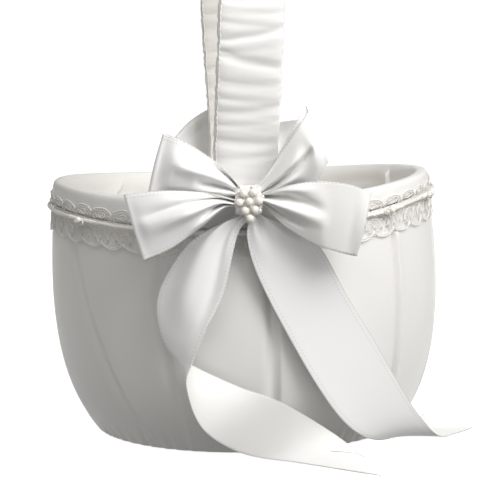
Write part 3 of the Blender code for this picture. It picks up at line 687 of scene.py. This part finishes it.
def handle_sleeve():
    """A satin tube gathered along both edges, so that it puffs softly between slanting creases."""
    rows, columns = 1100, 72
    path = strap_path(rows)
    total = length_of(path)
    along = unit(np.gradient(path, axis=0))
    out = unit(np.cross(along, np.array([1.0, 0.0, 0.0])))
    angle = np.arange(columns) * 2 * math.pi / columns
    run = np.linspace(0, total, rows)
    s, a = np.meshgrid(run, angle, indexing="ij")
    x = np.sign(np.cos(a)) * np.abs(np.cos(a)) ** 0.55
    up = np.sign(np.sin(a)) * np.abs(np.sin(a)) ** 0.7
    half = rows // 2
    creases = [(*np.interp((left, right), path[:half, 2], run[:half]), depth, width, fade)
               for left, right, depth, width, fade in HANDLE_CREASES]
    draw = np.random.default_rng(41)
    place = 190.0
    while place < total - 6:
        lean = draw.uniform(-2.5, 2.5)
        creases.append((place - lean, place + lean, draw.uniform(0.5, 1.0), draw.uniform(1.6, 2.5),
                        draw.uniform(-0.6, 0.9)))
        place += draw.uniform(6.0, 10.0)
    dip = np.zeros_like(s)
    for left, right, depth, width, fade in creases:
        share = (x + 1) / 2
        kept = 1 - fade * share if fade > 0 else 1 + fade * (1 - share)
        dip = dip + depth * kept * bump(s - left - (right - left) * share + 0.8 * (1 - x ** 2), width)
    dip = np.minimum(dip, 1.15)
    fine = 0.05 * waves(s + 2.0 * x, 43, 4.0) + 0.09 * np.abs(x) ** 3 * waves(s - 1.5 * x, 44, 2.2)
    half_width = STRAP_HALF_WIDTH + 0.1 - 0.45 * dip + np.abs(x) ** 6 * 0.15 * waves(s, 45, 2.4)
    half_thick = STRAP_HALF_THICKNESS * (1.15 - 0.5 * dip) + fine
    points = (path[:, None, :] + (x * half_width)[..., None] * np.array([1.0, 0, 0])
              + (up * half_thick)[..., None] * out[:, None, :])
    made = Build()
    made.grid(points, wrap_v=True, size=(total * 1.25, 58.0))
    piece = made.make("handle_satin", FINISHES["sleeve"], "satin", ("handle_sleeve",))
    # The inner half of the sleeve takes the darker copy of the satin: painted shade.
    piece.data.materials.append(FINISHES["under"])
    shaded_inner_face = np.arange((rows - 1) * columns) % columns < columns // 2
    piece.data.polygons.foreach_set("material_index", shaded_inner_face.astype(np.int32))
    thicken(piece, 0.3)
    handle_seam(path, run, out)


def handle_seam(path, run, out):
    """The whipped seam that closes the sleeve, a little wavy, along the left edge of both its faces."""
    steps = np.linspace(0, run[-1], 2600)
    line = np.column_stack([np.interp(steps, run, path[:, axis]) for axis in range(3)])
    face = unit(np.column_stack([np.interp(steps, run, out[:, axis]) for axis in range(3)]))
    side = -(STRAP_HALF_WIDTH - 0.7) + 0.08 * np.sin(steps * 2 * math.pi / 2.1) + 0.2 * waves(steps, 47, 9.0)
    made = Build()
    for way in (-1, 1):
        seam = line + side[:, None] * np.array([1.0, 0, 0]) + face * way * STRAP_HALF_THICKNESS * 0.8
        made.tube(seam, 0.28 + 0.08 * np.sin(steps * 2 * math.pi / 2.1), face, 6)
    # The seam wears the darkened thread: painted shade along the handle's edge.
    made.make("handle_seam", FINISHES["stitch_with_painted_shade"], "satin")


# ---------------------------------------------------------------- bows

class Ribbon:
    """A length of ribbon as a grid of points, with the way its face points."""

    def __init__(self, name, points):
        self.name = name
        self.points = points
        u_way = np.gradient(points, axis=0)
        v_way = np.gradient(points, axis=1)
        self.normal = unit(np.cross(u_way, v_way))

    def press(self, amount):
        """Move each point along the ribbon's face by an amount in mm."""
        return Ribbon(self.name, self.points + self.normal * amount[..., None])


def ruled(upper, lower, rows, columns):
    """A grid between two edges; the front side faces -Y where upper runs left to right above lower."""
    upper, lower = spline(upper, rows), spline(lower, rows)
    share = np.linspace(0, 1, columns)[None, :, None]
    return upper[:, None, :] * (1 - share) + lower[:, None, :] * share


def crease(u, v, route, depth, width, fade=0.12):
    """A fold along a route of (u, v) points: positive depth stands out, negative sinks in."""
    route = np.array(route, float)
    middle = np.interp(u, route[:, 0], route[:, 1])
    inside = smooth(route[0, 0] - fade, route[0, 0] + fade * 0.3, u)
    inside = inside * (1 - smooth(route[-1, 0] - fade, route[-1, 0] + fade, u))
    return depth * inside * bump(v - middle, width)


def keep_width(face, lift, most=3.2):
    """Scale each row's folds, up to a limit, so that the cloth across it is as wide as the ribbon."""
    across = np.linalg.norm(np.diff(face, axis=1), axis=2)
    climb = np.diff(lift, axis=1)
    scales = np.linspace(0.3, most, 30)
    widths = np.stack([np.hypot(across, climb * scale).sum(axis=1) for scale in scales], axis=1)
    scale = np.array([np.interp(RIBBON_WIDTH, row, scales) for row in widths])
    window = np.hanning(15)
    scale = np.convolve(np.pad(scale, 7, mode="edge"), window / window.sum(), mode="valid")
    return lift * scale[:, None]


# Each loop: upper and lower edge of its front layer, half depth at its middle and at its fold, how far its
# back layer is shifted at the fold, and its folds as (route of (u, v), depth in mm, width in v).
FRONT_LOOPS = {
    "upper_left": dict(
        upper=((-3.2, -88.6, 109.5), (-8.7, -88.6, 116.1), (-18.1, -88.6, 123.1), (-25.5, -88.2, 127.0),
               (-31.2, -84.0, 129.2)),
        lower=((-3.9, -87.6, 105.6), (-12.7, -87.8, 105.4), (-25.9, -89.0, 106.1), (-36.8, -90.5, 108.2)),
        belly=2.6, fold=1.6, back=(0.5, 0, 0.5),
        folds=((((0, 0.35), (0.75, 0.42)), 2.0, 0.13), (((0, 0.72), (0.5, 0.8)), 1.6, 0.1),
               (((0, 0.55), (0.45, 0.62)), -1.8, 0.08), (((0, 0.12), (0.35, 0.15)), -1.4, 0.07))),
    "upper_right": dict(
        upper=((2.9, -88.6, 109.0), (6.8, -88.6, 113.9), (13.4, -88.6, 123.3), (20.0, -88.2, 132.6),
               (23.2, -83.0, 136.6)),
        lower=((5.1, -88.4, 105.9), (13.9, -89.4, 108.0), (24.2, -91.4, 110.9), (29.6, -93.0, 118.6)),
        belly=2.8, fold=1.6, back=(-1.2, 0.8, 2.2), gather=3.2,
        folds=((((0, 0.4), (0.6, 0.35)), 2.2, 0.12), (((0.0, 0.6), (0.75, 0.5)), -2.4, 0.08),
               (((0, 0.75), (0.5, 0.7)), 2.0, 0.1))),
    "lower_left": dict(
        upper=((-4.9, -91.2, 104.9), (-16.6, -92.0, 108.0), (-31.6, -92.2, 109.1), (-46.2, -90.6, 107.8)),
        lower=((-5.6, -90.6, 102.5), (-10.2, -91.6, 101.6), (-18.7, -93.6, 95.4), (-30.2, -95.4, 87.8),
               (-39.4, -95.0, 83.8)),
        belly=3.0, fold=1.8, back=(1.0, 0, -0.4),
        folds=((((0, 0.3), (0.5, 0.3), (0.9, 0.38)), -2.2, 0.08), (((0.05, 0.5), (0.95, 0.55)), 1.6, 0.13),
               (((0, 0.85), (0.5, 0.93)), 1.8, 0.07), (((0, 0.7), (0.4, 0.75)), -1.6, 0.06))),
    "lower_right": dict(
        upper=((5.0, -91.2, 107.4), (13.6, -93.0, 110.0), (23.7, -94.0, 111.4), (36.2, -94.0, 110.4),
               (45.4, -92.6, 107.2)),
        lower=((5.0, -90.6, 103.1), (13.5, -91.6, 95.0), (24.8, -92.4, 88.0), (32.3, -93.0, 85.3),
               (39.6, -92.6, 83.4)),
        belly=3.0, fold=1.8, back=(-1.0, 0, -0.4),
        folds=((((0, 0.3), (0.25, 0.27), (0.55, 0.4)), -3.4, 0.10), (((0, 0.5), (0.6, 0.6)), 1.6, 0.12),
               (((0, 0.12), (0.5, 0.12)), 1.4, 0.08), (((0, 0.75), (0.35, 0.8)), -1.6, 0.06))),
}
# The rear bow is tied tighter: its upper loops stand up more steeply and its lower ones are shorter.
REAR_LOOPS = {
    "upper_left": dict(
        upper=((-3.2, -88.6, 110.5), (-11.0, -88.4, 118.0), (-20.0, -88.2, 123.6), (-30.5, -87.6, 125.0)),
        lower=((-4.5, -88.0, 106.0), (-11.0, -88.0, 106.6), (-17.0, -88.0, 107.2), (-22.5, -88.0, 108.4)),
        belly=2.2, fold=1.4, back=(0, 0, 0.4), gather=3.6,
        folds=((((0, 0.4), (0.6, 0.45)), 1.8, 0.13), (((0, 0.7), (0.4, 0.75)), -1.4, 0.08))),
    "upper_right": dict(
        upper=((2.9, -88.6, 110.5), (5.0, -88.4, 117.5), (7.5, -88.2, 124.5), (12.5, -87.6, 129.6)),
        lower=((5.1, -88.0, 106.5), (12.0, -88.0, 108.5), (20.0, -88.0, 112.0), (27.0, -88.0, 117.5)),
        belly=2.2, fold=1.4, back=(0, 0, 0.4), gather=3.6,
        folds=((((0, 0.5), (0.6, 0.5)), 1.8, 0.13), (((0, 0.25), (0.4, 0.2)), -1.4, 0.08))),
    "lower_left": dict(
        upper=((-4.9, -91.4, 104.9), (-14.0, -93.0, 106.6), (-24.0, -94.0, 107.0), (-34.0, -94.0, 105.0)),
        lower=((-5.6, -90.9, 101.2), (-9.0, -91.5, 97.5), (-17.0, -93.0, 89.0), (-26.5, -93.6, 82.5)),
        belly=2.6, fold=1.6, back=(0.5, 0, -0.3), gather=3.2,
        folds=((((0, 0.4), (0.7, 0.45)), -2.0, 0.09), (((0, 0.7), (0.6, 0.75)), 1.6, 0.1))),
    "lower_right": dict(
        upper=((5.0, -91.4, 105.2), (14.0, -93.0, 107.0), (24.0, -94.0, 107.2), (33.5, -94.0, 105.0)),
        lower=((5.0, -90.9, 101.6), (9.5, -91.5, 97.5), (17.5, -93.0, 89.0), (27.0, -93.6, 82.5)),
        belly=2.6, fold=1.6, back=(-0.5, 0, -0.3), gather=3.2,
        folds=((((0, 0.45), (0.7, 0.5)), -2.0, 0.09), (((0, 0.8), (0.5, 0.75)), 1.6, 0.1))),
}
LOOP_ROOT_HALF = 0.8
LOOP_ROWS = 96
LOOP_COLUMNS = 44


def bow_loop(name, upper, lower, belly, fold, back, folds, gather=2.2):
    """Out along the front, round the fold at the tip and back to the knot behind; gather limits its folds."""
    face = ruled(upper, lower, LOOP_ROWS, LOOP_COLUMNS)
    u = np.linspace(0, 1, LOOP_ROWS)[:, None]
    v = np.linspace(0, 1, LOOP_COLUMNS)[None, :]
    swell = (belly - LOOP_ROOT_HALF) * np.sin(math.pi * np.minimum(u * 0.62, 1))
    open_half = LOOP_ROOT_HALF + swell + (fold - belly) * smooth(0.55, 1, u)
    pinch = np.exp(-u / 0.17)
    gathers = pinch * (np.cos(v * 2 * math.pi * 1.6 + 4 * u) + 0.45 * np.cos(v * 2 * math.pi * 3.4 + 1.0))
    crown = 2.2 * np.sin(math.pi * v) * smooth(0.1, 0.6, u) * (1 - 0.5 * smooth(0.8, 1, u))
    lift = crown + gathers
    for route, depth, width in folds:
        lift = lift + 0.7 * crease(u, v, route, depth, width)
    front = open_half + keep_width(face, lift, gather)
    rear = open_half - keep_width(face, gathers + 0.4 * crown)
    front_layer = face.copy()
    front_layer[..., 1] -= front
    shift = np.array(back) * smooth(0.3, 1.0, u)[..., None]
    rear_layer = face + shift
    rear_layer[..., 1] += rear
    ends = front_layer[-1], rear_layer[-1]
    outward = unit(face[-1] - face[-6])
    middle, half = (ends[0] + ends[1]) / 2, (ends[0] - ends[1]) / 2
    reach = np.linalg.norm(half, axis=1, keepdims=True)
    turn = np.linspace(0, math.pi, 15)[1:-1, None, None]
    bend = middle + half * np.cos(turn) + outward * reach * 0.8 * np.sin(turn)
    return Ribbon(name, np.concatenate([front_layer, bend, rear_layer[::-1]]))


# Tails: two edges from the knot to the cut end, in mm from the bow's own middle.
TAILS = {
    "front_bow_left_tail": (
        ((-4.5, -87.2, 98.2), (-22.2, -85.8, 88.2), (-33.3, -84.0, 72.3), (-35.5, -83.0, 60.0),
         (-32.0, -81.5, 47.0), (-23.0, -80.5, 40.0), (-5.0, -80.5, 31.0), (11.0, -80.0, 24.5),
         (30.6, -76.5, 11.8), (44.3, -80.0, 1.6)),
        ((-0.4, -87.8, 97.8), (-5.0, -90.4, 90.5), (-10.3, -93.0, 69.8), (-17.1, -94.5, 56.4),
         (-23.0, -95.5, 43.0), (-25.0, -97.0, 34.0), (-19.0, -91.0, 17.0), (-3.0, -80.5, 4.5),
         (19.1, -83.0, 0.8), (47.4, -107.0, 0.8))),
    "front_bow_right_tail": (
        ((0.6, -87.8, 98.0), (-0.6, -88.0, 90.0), (3.0, -86.8, 76.0), (13.9, -85.4, 53.1),
         (27.5, -82.0, 28.6), (38.5, -76.5, 13.6), (49.5, -66.5, 5.6), (61.0, -49.0, 2.6),
         (68.5, -35.0, 3.0), (76.0, -21.0, 6.0)),
        ((4.8, -87.2, 98.6), (16.0, -86.8, 93.0), (27.0, -84.6, 85.5), (38.0, -79.5, 65.6),
         (49.0, -73.5, 47.0), (58.5, -66.5, 30.0), (68.5, -58.0, 13.5), (78.0, -49.0, 2.6),
         (87.0, -38.0, 0.8), (96.0, -28.0, 0.8))),
    "rear_bow_left_tail": (
        ((-4.5, -87.2, 98.2), (-17.0, -87.6, 89.0), (-28.0, -87.4, 74.0), (-36.0, -86.0, 55.0),
         (-41.0, -84.0, 36.0), (-43.0, -81.0, 18.0)),
        ((-0.4, -87.8, 97.8), (-3.4, -88.0, 87.0), (-5.5, -88.0, 68.0), (-10.5, -87.6, 48.0),
         (-16.0, -86.0, 28.0), (-19.0, -83.5, 10.0))),
    "rear_bow_right_tail": (
        ((0.4, -87.8, 97.8), (2.4, -88.4, 86.0), (4.5, -88.2, 66.0), (9.0, -87.6, 46.0),
         (13.0, -86.0, 27.0), (16.0, -83.5, 9.0)),
        ((4.5, -87.2, 98.2), (16.0, -87.4, 90.0), (27.0, -87.0, 76.0), (34.0, -86.0, 57.0),
         (38.0, -84.0, 38.0), (41.0, -81.0, 20.0))),
}
# Folds of each tail as (route of (u, v), depth in mm, width in v).
TAIL_FOLDS = {
    "front_bow_left_tail": (
        (((0.03, 0.5), (0.12, 0.42), (0.3, 0.5)), 3.2, 0.24), (((0.0, 0.8), (0.14, 0.85)), 0.8, 0.07),
        (((0, 0.25), (0.08, 0.2)), 0.9, 0.08), (((0.1, 0.78), (0.32, 0.86)), -0.9, 0.09)),
    "front_bow_right_tail": (
        (((0, 0.2), (0.16, 0.2)), 1.3, 0.12), (((0.02, 0.45), (0.13, 0.42)), -1.6, 0.10),
        (((0, 0.75), (0.2, 0.8)), 0.9, 0.15)),
    "rear_bow_left_tail": (
        (((0, 0.45), (0.45, 0.5)), 1.3, 0.13), (((0, 0.75), (0.3, 0.8)), -0.7, 0.08)),
    "rear_bow_right_tail": (
        (((0, 0.5), (0.5, 0.45)), 1.4, 0.13), (((0, 0.2), (0.3, 0.2)), -0.7, 0.08)),
}
TAIL_ROWS = 230
TAIL_COLUMNS = 44
SWALLOW_NOTCH = 13.0


def bow_tail(name):
    """A tail from the knot to its swallow-tail cut; its front side faces outward at the top."""
    left, right = TAILS[name]
    grid = ruled(left, right, TAIL_ROWS, TAIL_COLUMNS)
    v = np.linspace(0, 1, TAIL_COLUMNS)[None, :]
    end = length_of(grid[:, TAIL_COLUMNS // 2])
    late = smooth(0.75, 1.0, np.linspace(0, 1, TAIL_ROWS))[:, None]
    keep = 1 - SWALLOW_NOTCH / end * (1 - np.abs(2 * v - 1)) * late
    wanted = np.linspace(0, 1, TAIL_ROWS)[:, None] * keep * (TAIL_ROWS - 1)
    low = np.minimum(wanted.astype(int), TAIL_ROWS - 2)
    part = (wanted - low)[..., None]
    columns = np.broadcast_to(np.arange(TAIL_COLUMNS)[None, :], low.shape)
    grid = grid[low, columns] * (1 - part) + grid[low + 1, columns] * part
    u = np.linspace(0, 1, TAIL_ROWS)[:, None]
    tail = Ribbon(name, grid)
    pinch = np.exp(-u / 0.05)
    lift = pinch * (0.9 * np.cos(v * 2 * math.pi * 2.5) + 0.3 * np.cos(v * 2 * math.pi * 4.5 + 1.0))
    for route, depth, width in TAIL_FOLDS[name]:
        lift = lift + crease(u, v, route, depth, width, 0.08)
    return tail.press(lift)


def edge_marks(made, ribbon, side):
    """The two lines of a woven edge: a beaded selvage and a row of small stitches just inside it."""
    columns = ribbon.points.shape[1]
    for inset, base, swing, out in ((0, 0.22, 0.07, 0.0), (0.055, 0.12, 0.11, 0.06)):
        place = inset * (columns - 1)
        place = place if side < 0 else columns - 1 - place
        low = min(int(place), columns - 2)
        part = place - low
        path = ribbon.points[:, low] * (1 - part) + ribbon.points[:, low + 1] * part
        way = unit(ribbon.normal[:, low] * (1 - part) + ribbon.normal[:, low + 1] * part)
        steps = max(int(length_of(path) / 0.3), 20)
        both = even_pair(path, way, steps)
        along = np.linspace(0, length_of(path), steps)
        radius = base + swing * np.cos(2 * math.pi * along / STITCH_PITCH)
        made.tube(both[0] + both[1] * out, radius, both[1], 6)


def even_pair(path, way, count):
    """A path and its directions, both read evenly along the path."""
    steps = np.linalg.norm(np.diff(path, axis=0), axis=1)
    along = np.concatenate([[0], np.cumsum(steps)])
    wanted = np.linspace(0, along[-1], count)
    here, facing = (np.column_stack([np.interp(wanted, along, thing[:, axis]) for axis in range(3)])
                    for thing in (path, way))
    return here, unit(facing)


def placed(points, shift, turned):
    """Points of a bow in the basket's frame: the rear bow is turned half round."""
    if turned:
        points = points * np.array([-1.0, -1.0, 1.0])
    return points + np.array([shift, 0.0, 0.0])


def wrap_band(made, half_width, ring_of, ridges, deep):
    """A gathered band round the X axis: ring_of(angle) gives the outline, ridges run round it."""
    angle = np.arange(96) * 2 * math.pi / 96
    x = np.linspace(-1, 1, 41)
    a, across = np.meshgrid(angle, x, indexing="ij")
    waist = 1 - 0.10 * (1 - across ** 2) - 0.12 * smooth(0.8, 1.0, np.abs(across))
    fold = deep * np.cos(across * ridges * math.pi + 0.5 * np.sin(a * 2 + 1))
    fold = fold + deep * 0.4 * np.cos(across * 17 + a)
    y, z = ring_of(a, waist, fold)
    start = made.count
    points = np.stack([across * half_width, y, z], axis=-1)
    made.grid(points, wrap_u=True, size=(36.0, 2 * half_width), flip=True)
    made.cap(start + np.arange(96) * 41)
    made.cap((start + np.arange(96) * 41 + 40)[::-1])


def bow_knot():
    """The centre wrap: a short band of ribbon pulled tight round the loops."""
    made = Build()

    def outline(a, waist, fold):
        y = KNOT_Y - (3.3 * waist + fold) * np.sign(np.cos(a)) * np.abs(np.cos(a)) ** 0.8
        z = BOW_HEIGHT + (6.0 * waist + fold) * np.sign(np.sin(a)) * np.abs(np.sin(a)) ** 0.8
        return y, z

    wrap_band(made, 5.1, outline, 3.5, 0.3)
    return made


def bow_tie():
    """The band that ties the bow to the strap: a gathered ring round the strap, thick in front of it."""
    made = Build()
    angle = np.arange(160) * 2 * math.pi / 160
    section = np.array((
        (0.0, -2.6), (0.35, -3.0), (0.7, -3.1), (0.95, -2.6), (1.0, -1.5), (0.97, 0.0), (1.0, 1.5),
        (0.95, 2.6), (0.7, 3.1), (0.35, 3.0), (0.0, 2.6), (0.0, 0.0),
    ))
    section = np.vstack([section, section[:1]])
    section = even(section, 61)[:-1]
    cos, sin = np.cos(angle), np.sin(angle)

    def corner(value, power):
        return np.sign(value) * np.abs(value) ** power

    outer = np.column_stack([15.3 * corner(cos, 0.45), -75.9 + 9.1 * corner(sin, 0.6)])
    inner = np.column_stack([13.0 * corner(cos, 0.3), -71.3 + 2.8 * corner(sin, 0.3)])
    share = section[:, 0][None, :, None]
    flat = inner[:, None, :] * (1 - share) + outer[:, None, :] * share
    rise = section[:, 1][None, :]
    height = np.broadcast_to(TIE_HEIGHT + 0.93 * rise, flat.shape[:2])
    folds = 0.22 * np.cos(rise * 3.4 + 0.8 * np.sin(2 * angle)[:, None]) * section[:, 0][None, :]
    flat = flat + folds[..., None] * unit(outer - inner)[:, None, :]
    made.grid(np.concatenate([flat, height[..., None]], axis=-1), wrap_u=True, wrap_v=True, size=(80.0, 20.0))
    return made


def bow(prefix, loops, shift, turned):
    """One bow of four loops, two tails, the centre wrap and the band behind it."""
    seams = Build()
    ribbons = [(bow_loop(f"{prefix}_{word}_ribbon", **spec), f"{prefix}_{word}_loop", "folded")
               for word, spec in loops.items()]
    for word in ("left_tail", "right_tail"):
        ribbons.append((bow_tail(f"{prefix}_{word}"), f"{prefix}_{word}", "draped"))
    for ribbon, node, held in ribbons:
        ribbon = Ribbon(ribbon.name, placed(ribbon.points, shift, turned))
        made = Build()
        long = length_of(ribbon.points[:, LOOP_COLUMNS // 2])
        made.grid(ribbon.points, size=(long, RIBBON_WIDTH))
        name = ribbon.name if ribbon.name.endswith("ribbon") else ribbon.name + "_ribbon"
        piece = made.make(name, FINISHES["ribbon"], "ribbon", (node,))
        thicken(piece, RIBBON_THICKNESS, 0.0, FINISHES["reverse"])
        for side in (-1, 1):
            edge_marks(seams, ribbon, side)
    # The edge marks wear the darkened thread: painted shade along the ribbons' edges.
    edge = seams.make(prefix + "_selvage", FINISHES["stitch_with_painted_shade"], "ribbon")
    for word, made in (("knot", bow_knot()), ("tie_band", bow_tie())):
        made.points = [placed(points, shift, turned) for points in made.points]
        made.make(f"{prefix}_{word}_wrap", FINISHES["ribbon"], "ribbon", (f"{prefix}_{word}",))


def brooch(shift):
    """The pearl cluster on the front knot: pearls on a domed backing, with seed beads and thread loops."""
    pearls, small, wire = Build(), Build(), Build()
    ring = [(0.0, 0.0, 0.5)]
    for step in range(6):
        turn = math.radians(60 * step + 4)
        ring.append((3.75 * math.cos(turn), 3.75 * math.sin(turn), 0.0))
    ring.append((0.2, -6.4, -0.5))
    for x, z, out in ring:
        middle = np.array([shift + x, BROOCH_FACE - out, BOW_HEIGHT + z])
        pearls.bead(middle, 1.62, 28)
        turn = np.linspace(0, 2 * math.pi, 25)[:-1]
        hoop = middle + np.column_stack([1.85 * np.cos(turn), 0.9 + 0 * turn, 1.85 * np.sin(turn)])
        wire.tube(hoop, 0.17, (0, -1, 0), 6, closed=True)
    for step in range(12):
        turn = math.radians(30 * step + 19)
        reach = 2.15 if step % 2 else 5.5
        depth = BROOCH_FACE + (0.6 if step % 2 else 1.0)
        small.bead((shift + reach * math.cos(turn), depth, BOW_HEIGHT + reach * math.sin(turn)), 0.62, 12)
    turn = np.arange(48) * 2 * math.pi / 48
    reach = np.array((0.2, 2.0, 3.8, 5.0, 5.5, 5.5, 4.8, 2.5, 0.2))
    depth = np.array((-94.3, -94.2, -94.0, -93.7, -93.3, -92.9, -92.7, -92.7, -92.7))
    t, r = np.meshgrid(turn, reach, indexing="ij")
    back = np.stack([shift + r * np.cos(t), depth[None, :] + 0 * t, BOW_HEIGHT + r * np.sin(t)], axis=-1)
    dome = Build()
    dome.grid(back, wrap_u=True, size=(34.0, 12.0), flip=True)
    dome.cap(np.arange(48) * 9)
    dome.cap((np.arange(48) * 9 + 8)[::-1])
    dome.make("brooch_backing", FINISHES["ribbon"], "ribbon", ("front_bow_brooch_back",))
    pearls.make("brooch_pearls", FINISHES["pearl"], "pearl",
                [f"front_bow_brooch_pearl_{number}" for number in range(1, 9)])
    small.make("brooch_seed_beads", FINISHES["pearl"], "pearl")
    wire.make("brooch_thread", FINISHES["cord"], "cord")


# ---------------------------------------------------------------- frame nodes left showing

def dress_frame():
    """Materials for the frame's own nodes that stay in view."""
    looks = {"base_disc": "card", "bowl_shell": "board", "floor_card": "card", "rim_padding": "wadding",
             "handle_core": "strip"}
    for end in ("front", "rear"):
        for side in ("left", "right"):
            looks[f"handle_rivet_{end}_{side}"] = "rivet"
    for node, finish in looks.items():
        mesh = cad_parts[node].data
        mesh.materials.clear()
        mesh.materials.append(FINISHES[finish])


# ---------------------------------------------------------------- studio

ROOM_LIGHT = (0.12, 0.42)

# Soft boxes aimed at the bowl: (name, turn from the front, height angle, distance, side in metres, watts).
LAMPS = (("key light", 40.0, 38.0, 0.80, 0.42, 4.5), ("top light", 6.0, 48.0, 0.95, 0.70, 2.7))


def studio():
    nodes = Nodes("floor paper")
    place = nodes.add("ShaderNodeTexCoord").outputs["Object"]
    grain = nodes.noise(place, 300.0, 3.0)
    paper = nodes.finish(nodes.blend(grain, (0.96, 0.96, 0.96), (0.95, 0.95, 0.95)), 0.9,
                         nodes.bump(grain, 0.05, 0.0003), Emission_Strength=0.8,
                         Emission_Color=(1.0, 1.0, 1.0, 1.0))
    bpy.ops.mesh.primitive_plane_add(size=6.0)
    floor = bpy.context.object
    floor.name = "floor"
    floor.data.materials.append(paper)
    floor.visible_diffuse = False

    world = bpy.data.worlds.new("studio")
    world.use_nodes = True
    bpy.context.scene.world = world
    tree = world.node_tree
    tree.nodes.clear()
    out = tree.nodes.new("ShaderNodeOutputWorld")
    mix = tree.nodes.new("ShaderNodeMixShader")
    path = tree.nodes.new("ShaderNodeLightPath")
    backdrop = tree.nodes.new("ShaderNodeBackground")
    backdrop.inputs[0].default_value = (1.0, 1.0, 1.0, 1.0)
    room = tree.nodes.new("ShaderNodeBackground")
    place = tree.nodes.new("ShaderNodeTexCoord")
    split = tree.nodes.new("ShaderNodeSeparateXYZ")
    ramp = tree.nodes.new("ShaderNodeMapRange")
    for socket, value in ((1, -0.6), (2, 0.7), (3, ROOM_LIGHT[0]), (4, ROOM_LIGHT[1])):
        ramp.inputs[socket].default_value = value
    room.inputs[0].default_value = (1.0, 0.985, 0.955, 1.0)
    tree.links.new(place.outputs["Generated"], split.inputs[0])
    tree.links.new(split.outputs[2], ramp.inputs[0])
    tree.links.new(ramp.outputs[0], room.inputs[1])
    tree.links.new(path.outputs["Is Camera Ray"], mix.inputs[0])
    tree.links.new(room.outputs[0], mix.inputs[1])
    tree.links.new(backdrop.outputs[0], mix.inputs[2])
    tree.links.new(mix.outputs[0], out.inputs[0])

    for name, turn, rise, distance, side, watts in LAMPS:
        lamp = bpy.data.lights.new(name, "AREA")
        lamp.energy = watts
        lamp.size = side
        lamp.color = (1.0, 0.997, 0.99)
        turn, rise = math.radians(turn), math.radians(rise)
        toward = Vector((math.sin(turn) * math.cos(rise), -math.cos(turn) * math.cos(rise), math.sin(rise)))
        box = bpy.data.objects.new(name, lamp)
        box.location = toward * distance + Vector((0, 0, 0.09))
        box.rotation_euler = toward.to_track_quat("Z", "Y").to_euler()
        bpy.context.scene.collection.objects.link(box)

    camera_data = bpy.data.cameras.new("camera")
    camera_data.lens = 134.8
    camera_data.sensor_width = 36.0
    camera = bpy.data.objects.new("camera", camera_data)
    bpy.context.scene.collection.objects.link(camera)
    camera.location = Vector((-37.5, -795.5, 171.4)) * MM
    aim = Vector((1.9, 0.0, 74.6)) * MM - camera.location
    camera.rotation_mode = "QUATERNION"
    roll = Euler((0, 0, math.radians(-0.9))).to_quaternion()
    camera.rotation_quaternion = aim.to_track_quat("-Z", "Y") @ roll
    bpy.context.scene.camera = camera
    bpy.context.scene.view_settings.view_transform = "Standard"


def main():
    outer_cover()
    lining()
    rim_roll()
    lace()
    trim_cord()
    cord_knots()
    handle_sleeve()
    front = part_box("front_bow_knot")
    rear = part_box("rear_bow_knot")
    bow("front_bow", FRONT_LOOPS, (front[0].x + front[1].x) / 2 / MM, False)
    bow("rear_bow", REAR_LOOPS, (rear[0].x + rear[1].x) / 2 / MM, True)
    brooch((front[0].x + front[1].x) / 2 / MM)
    dress_frame()
    studio()


main()
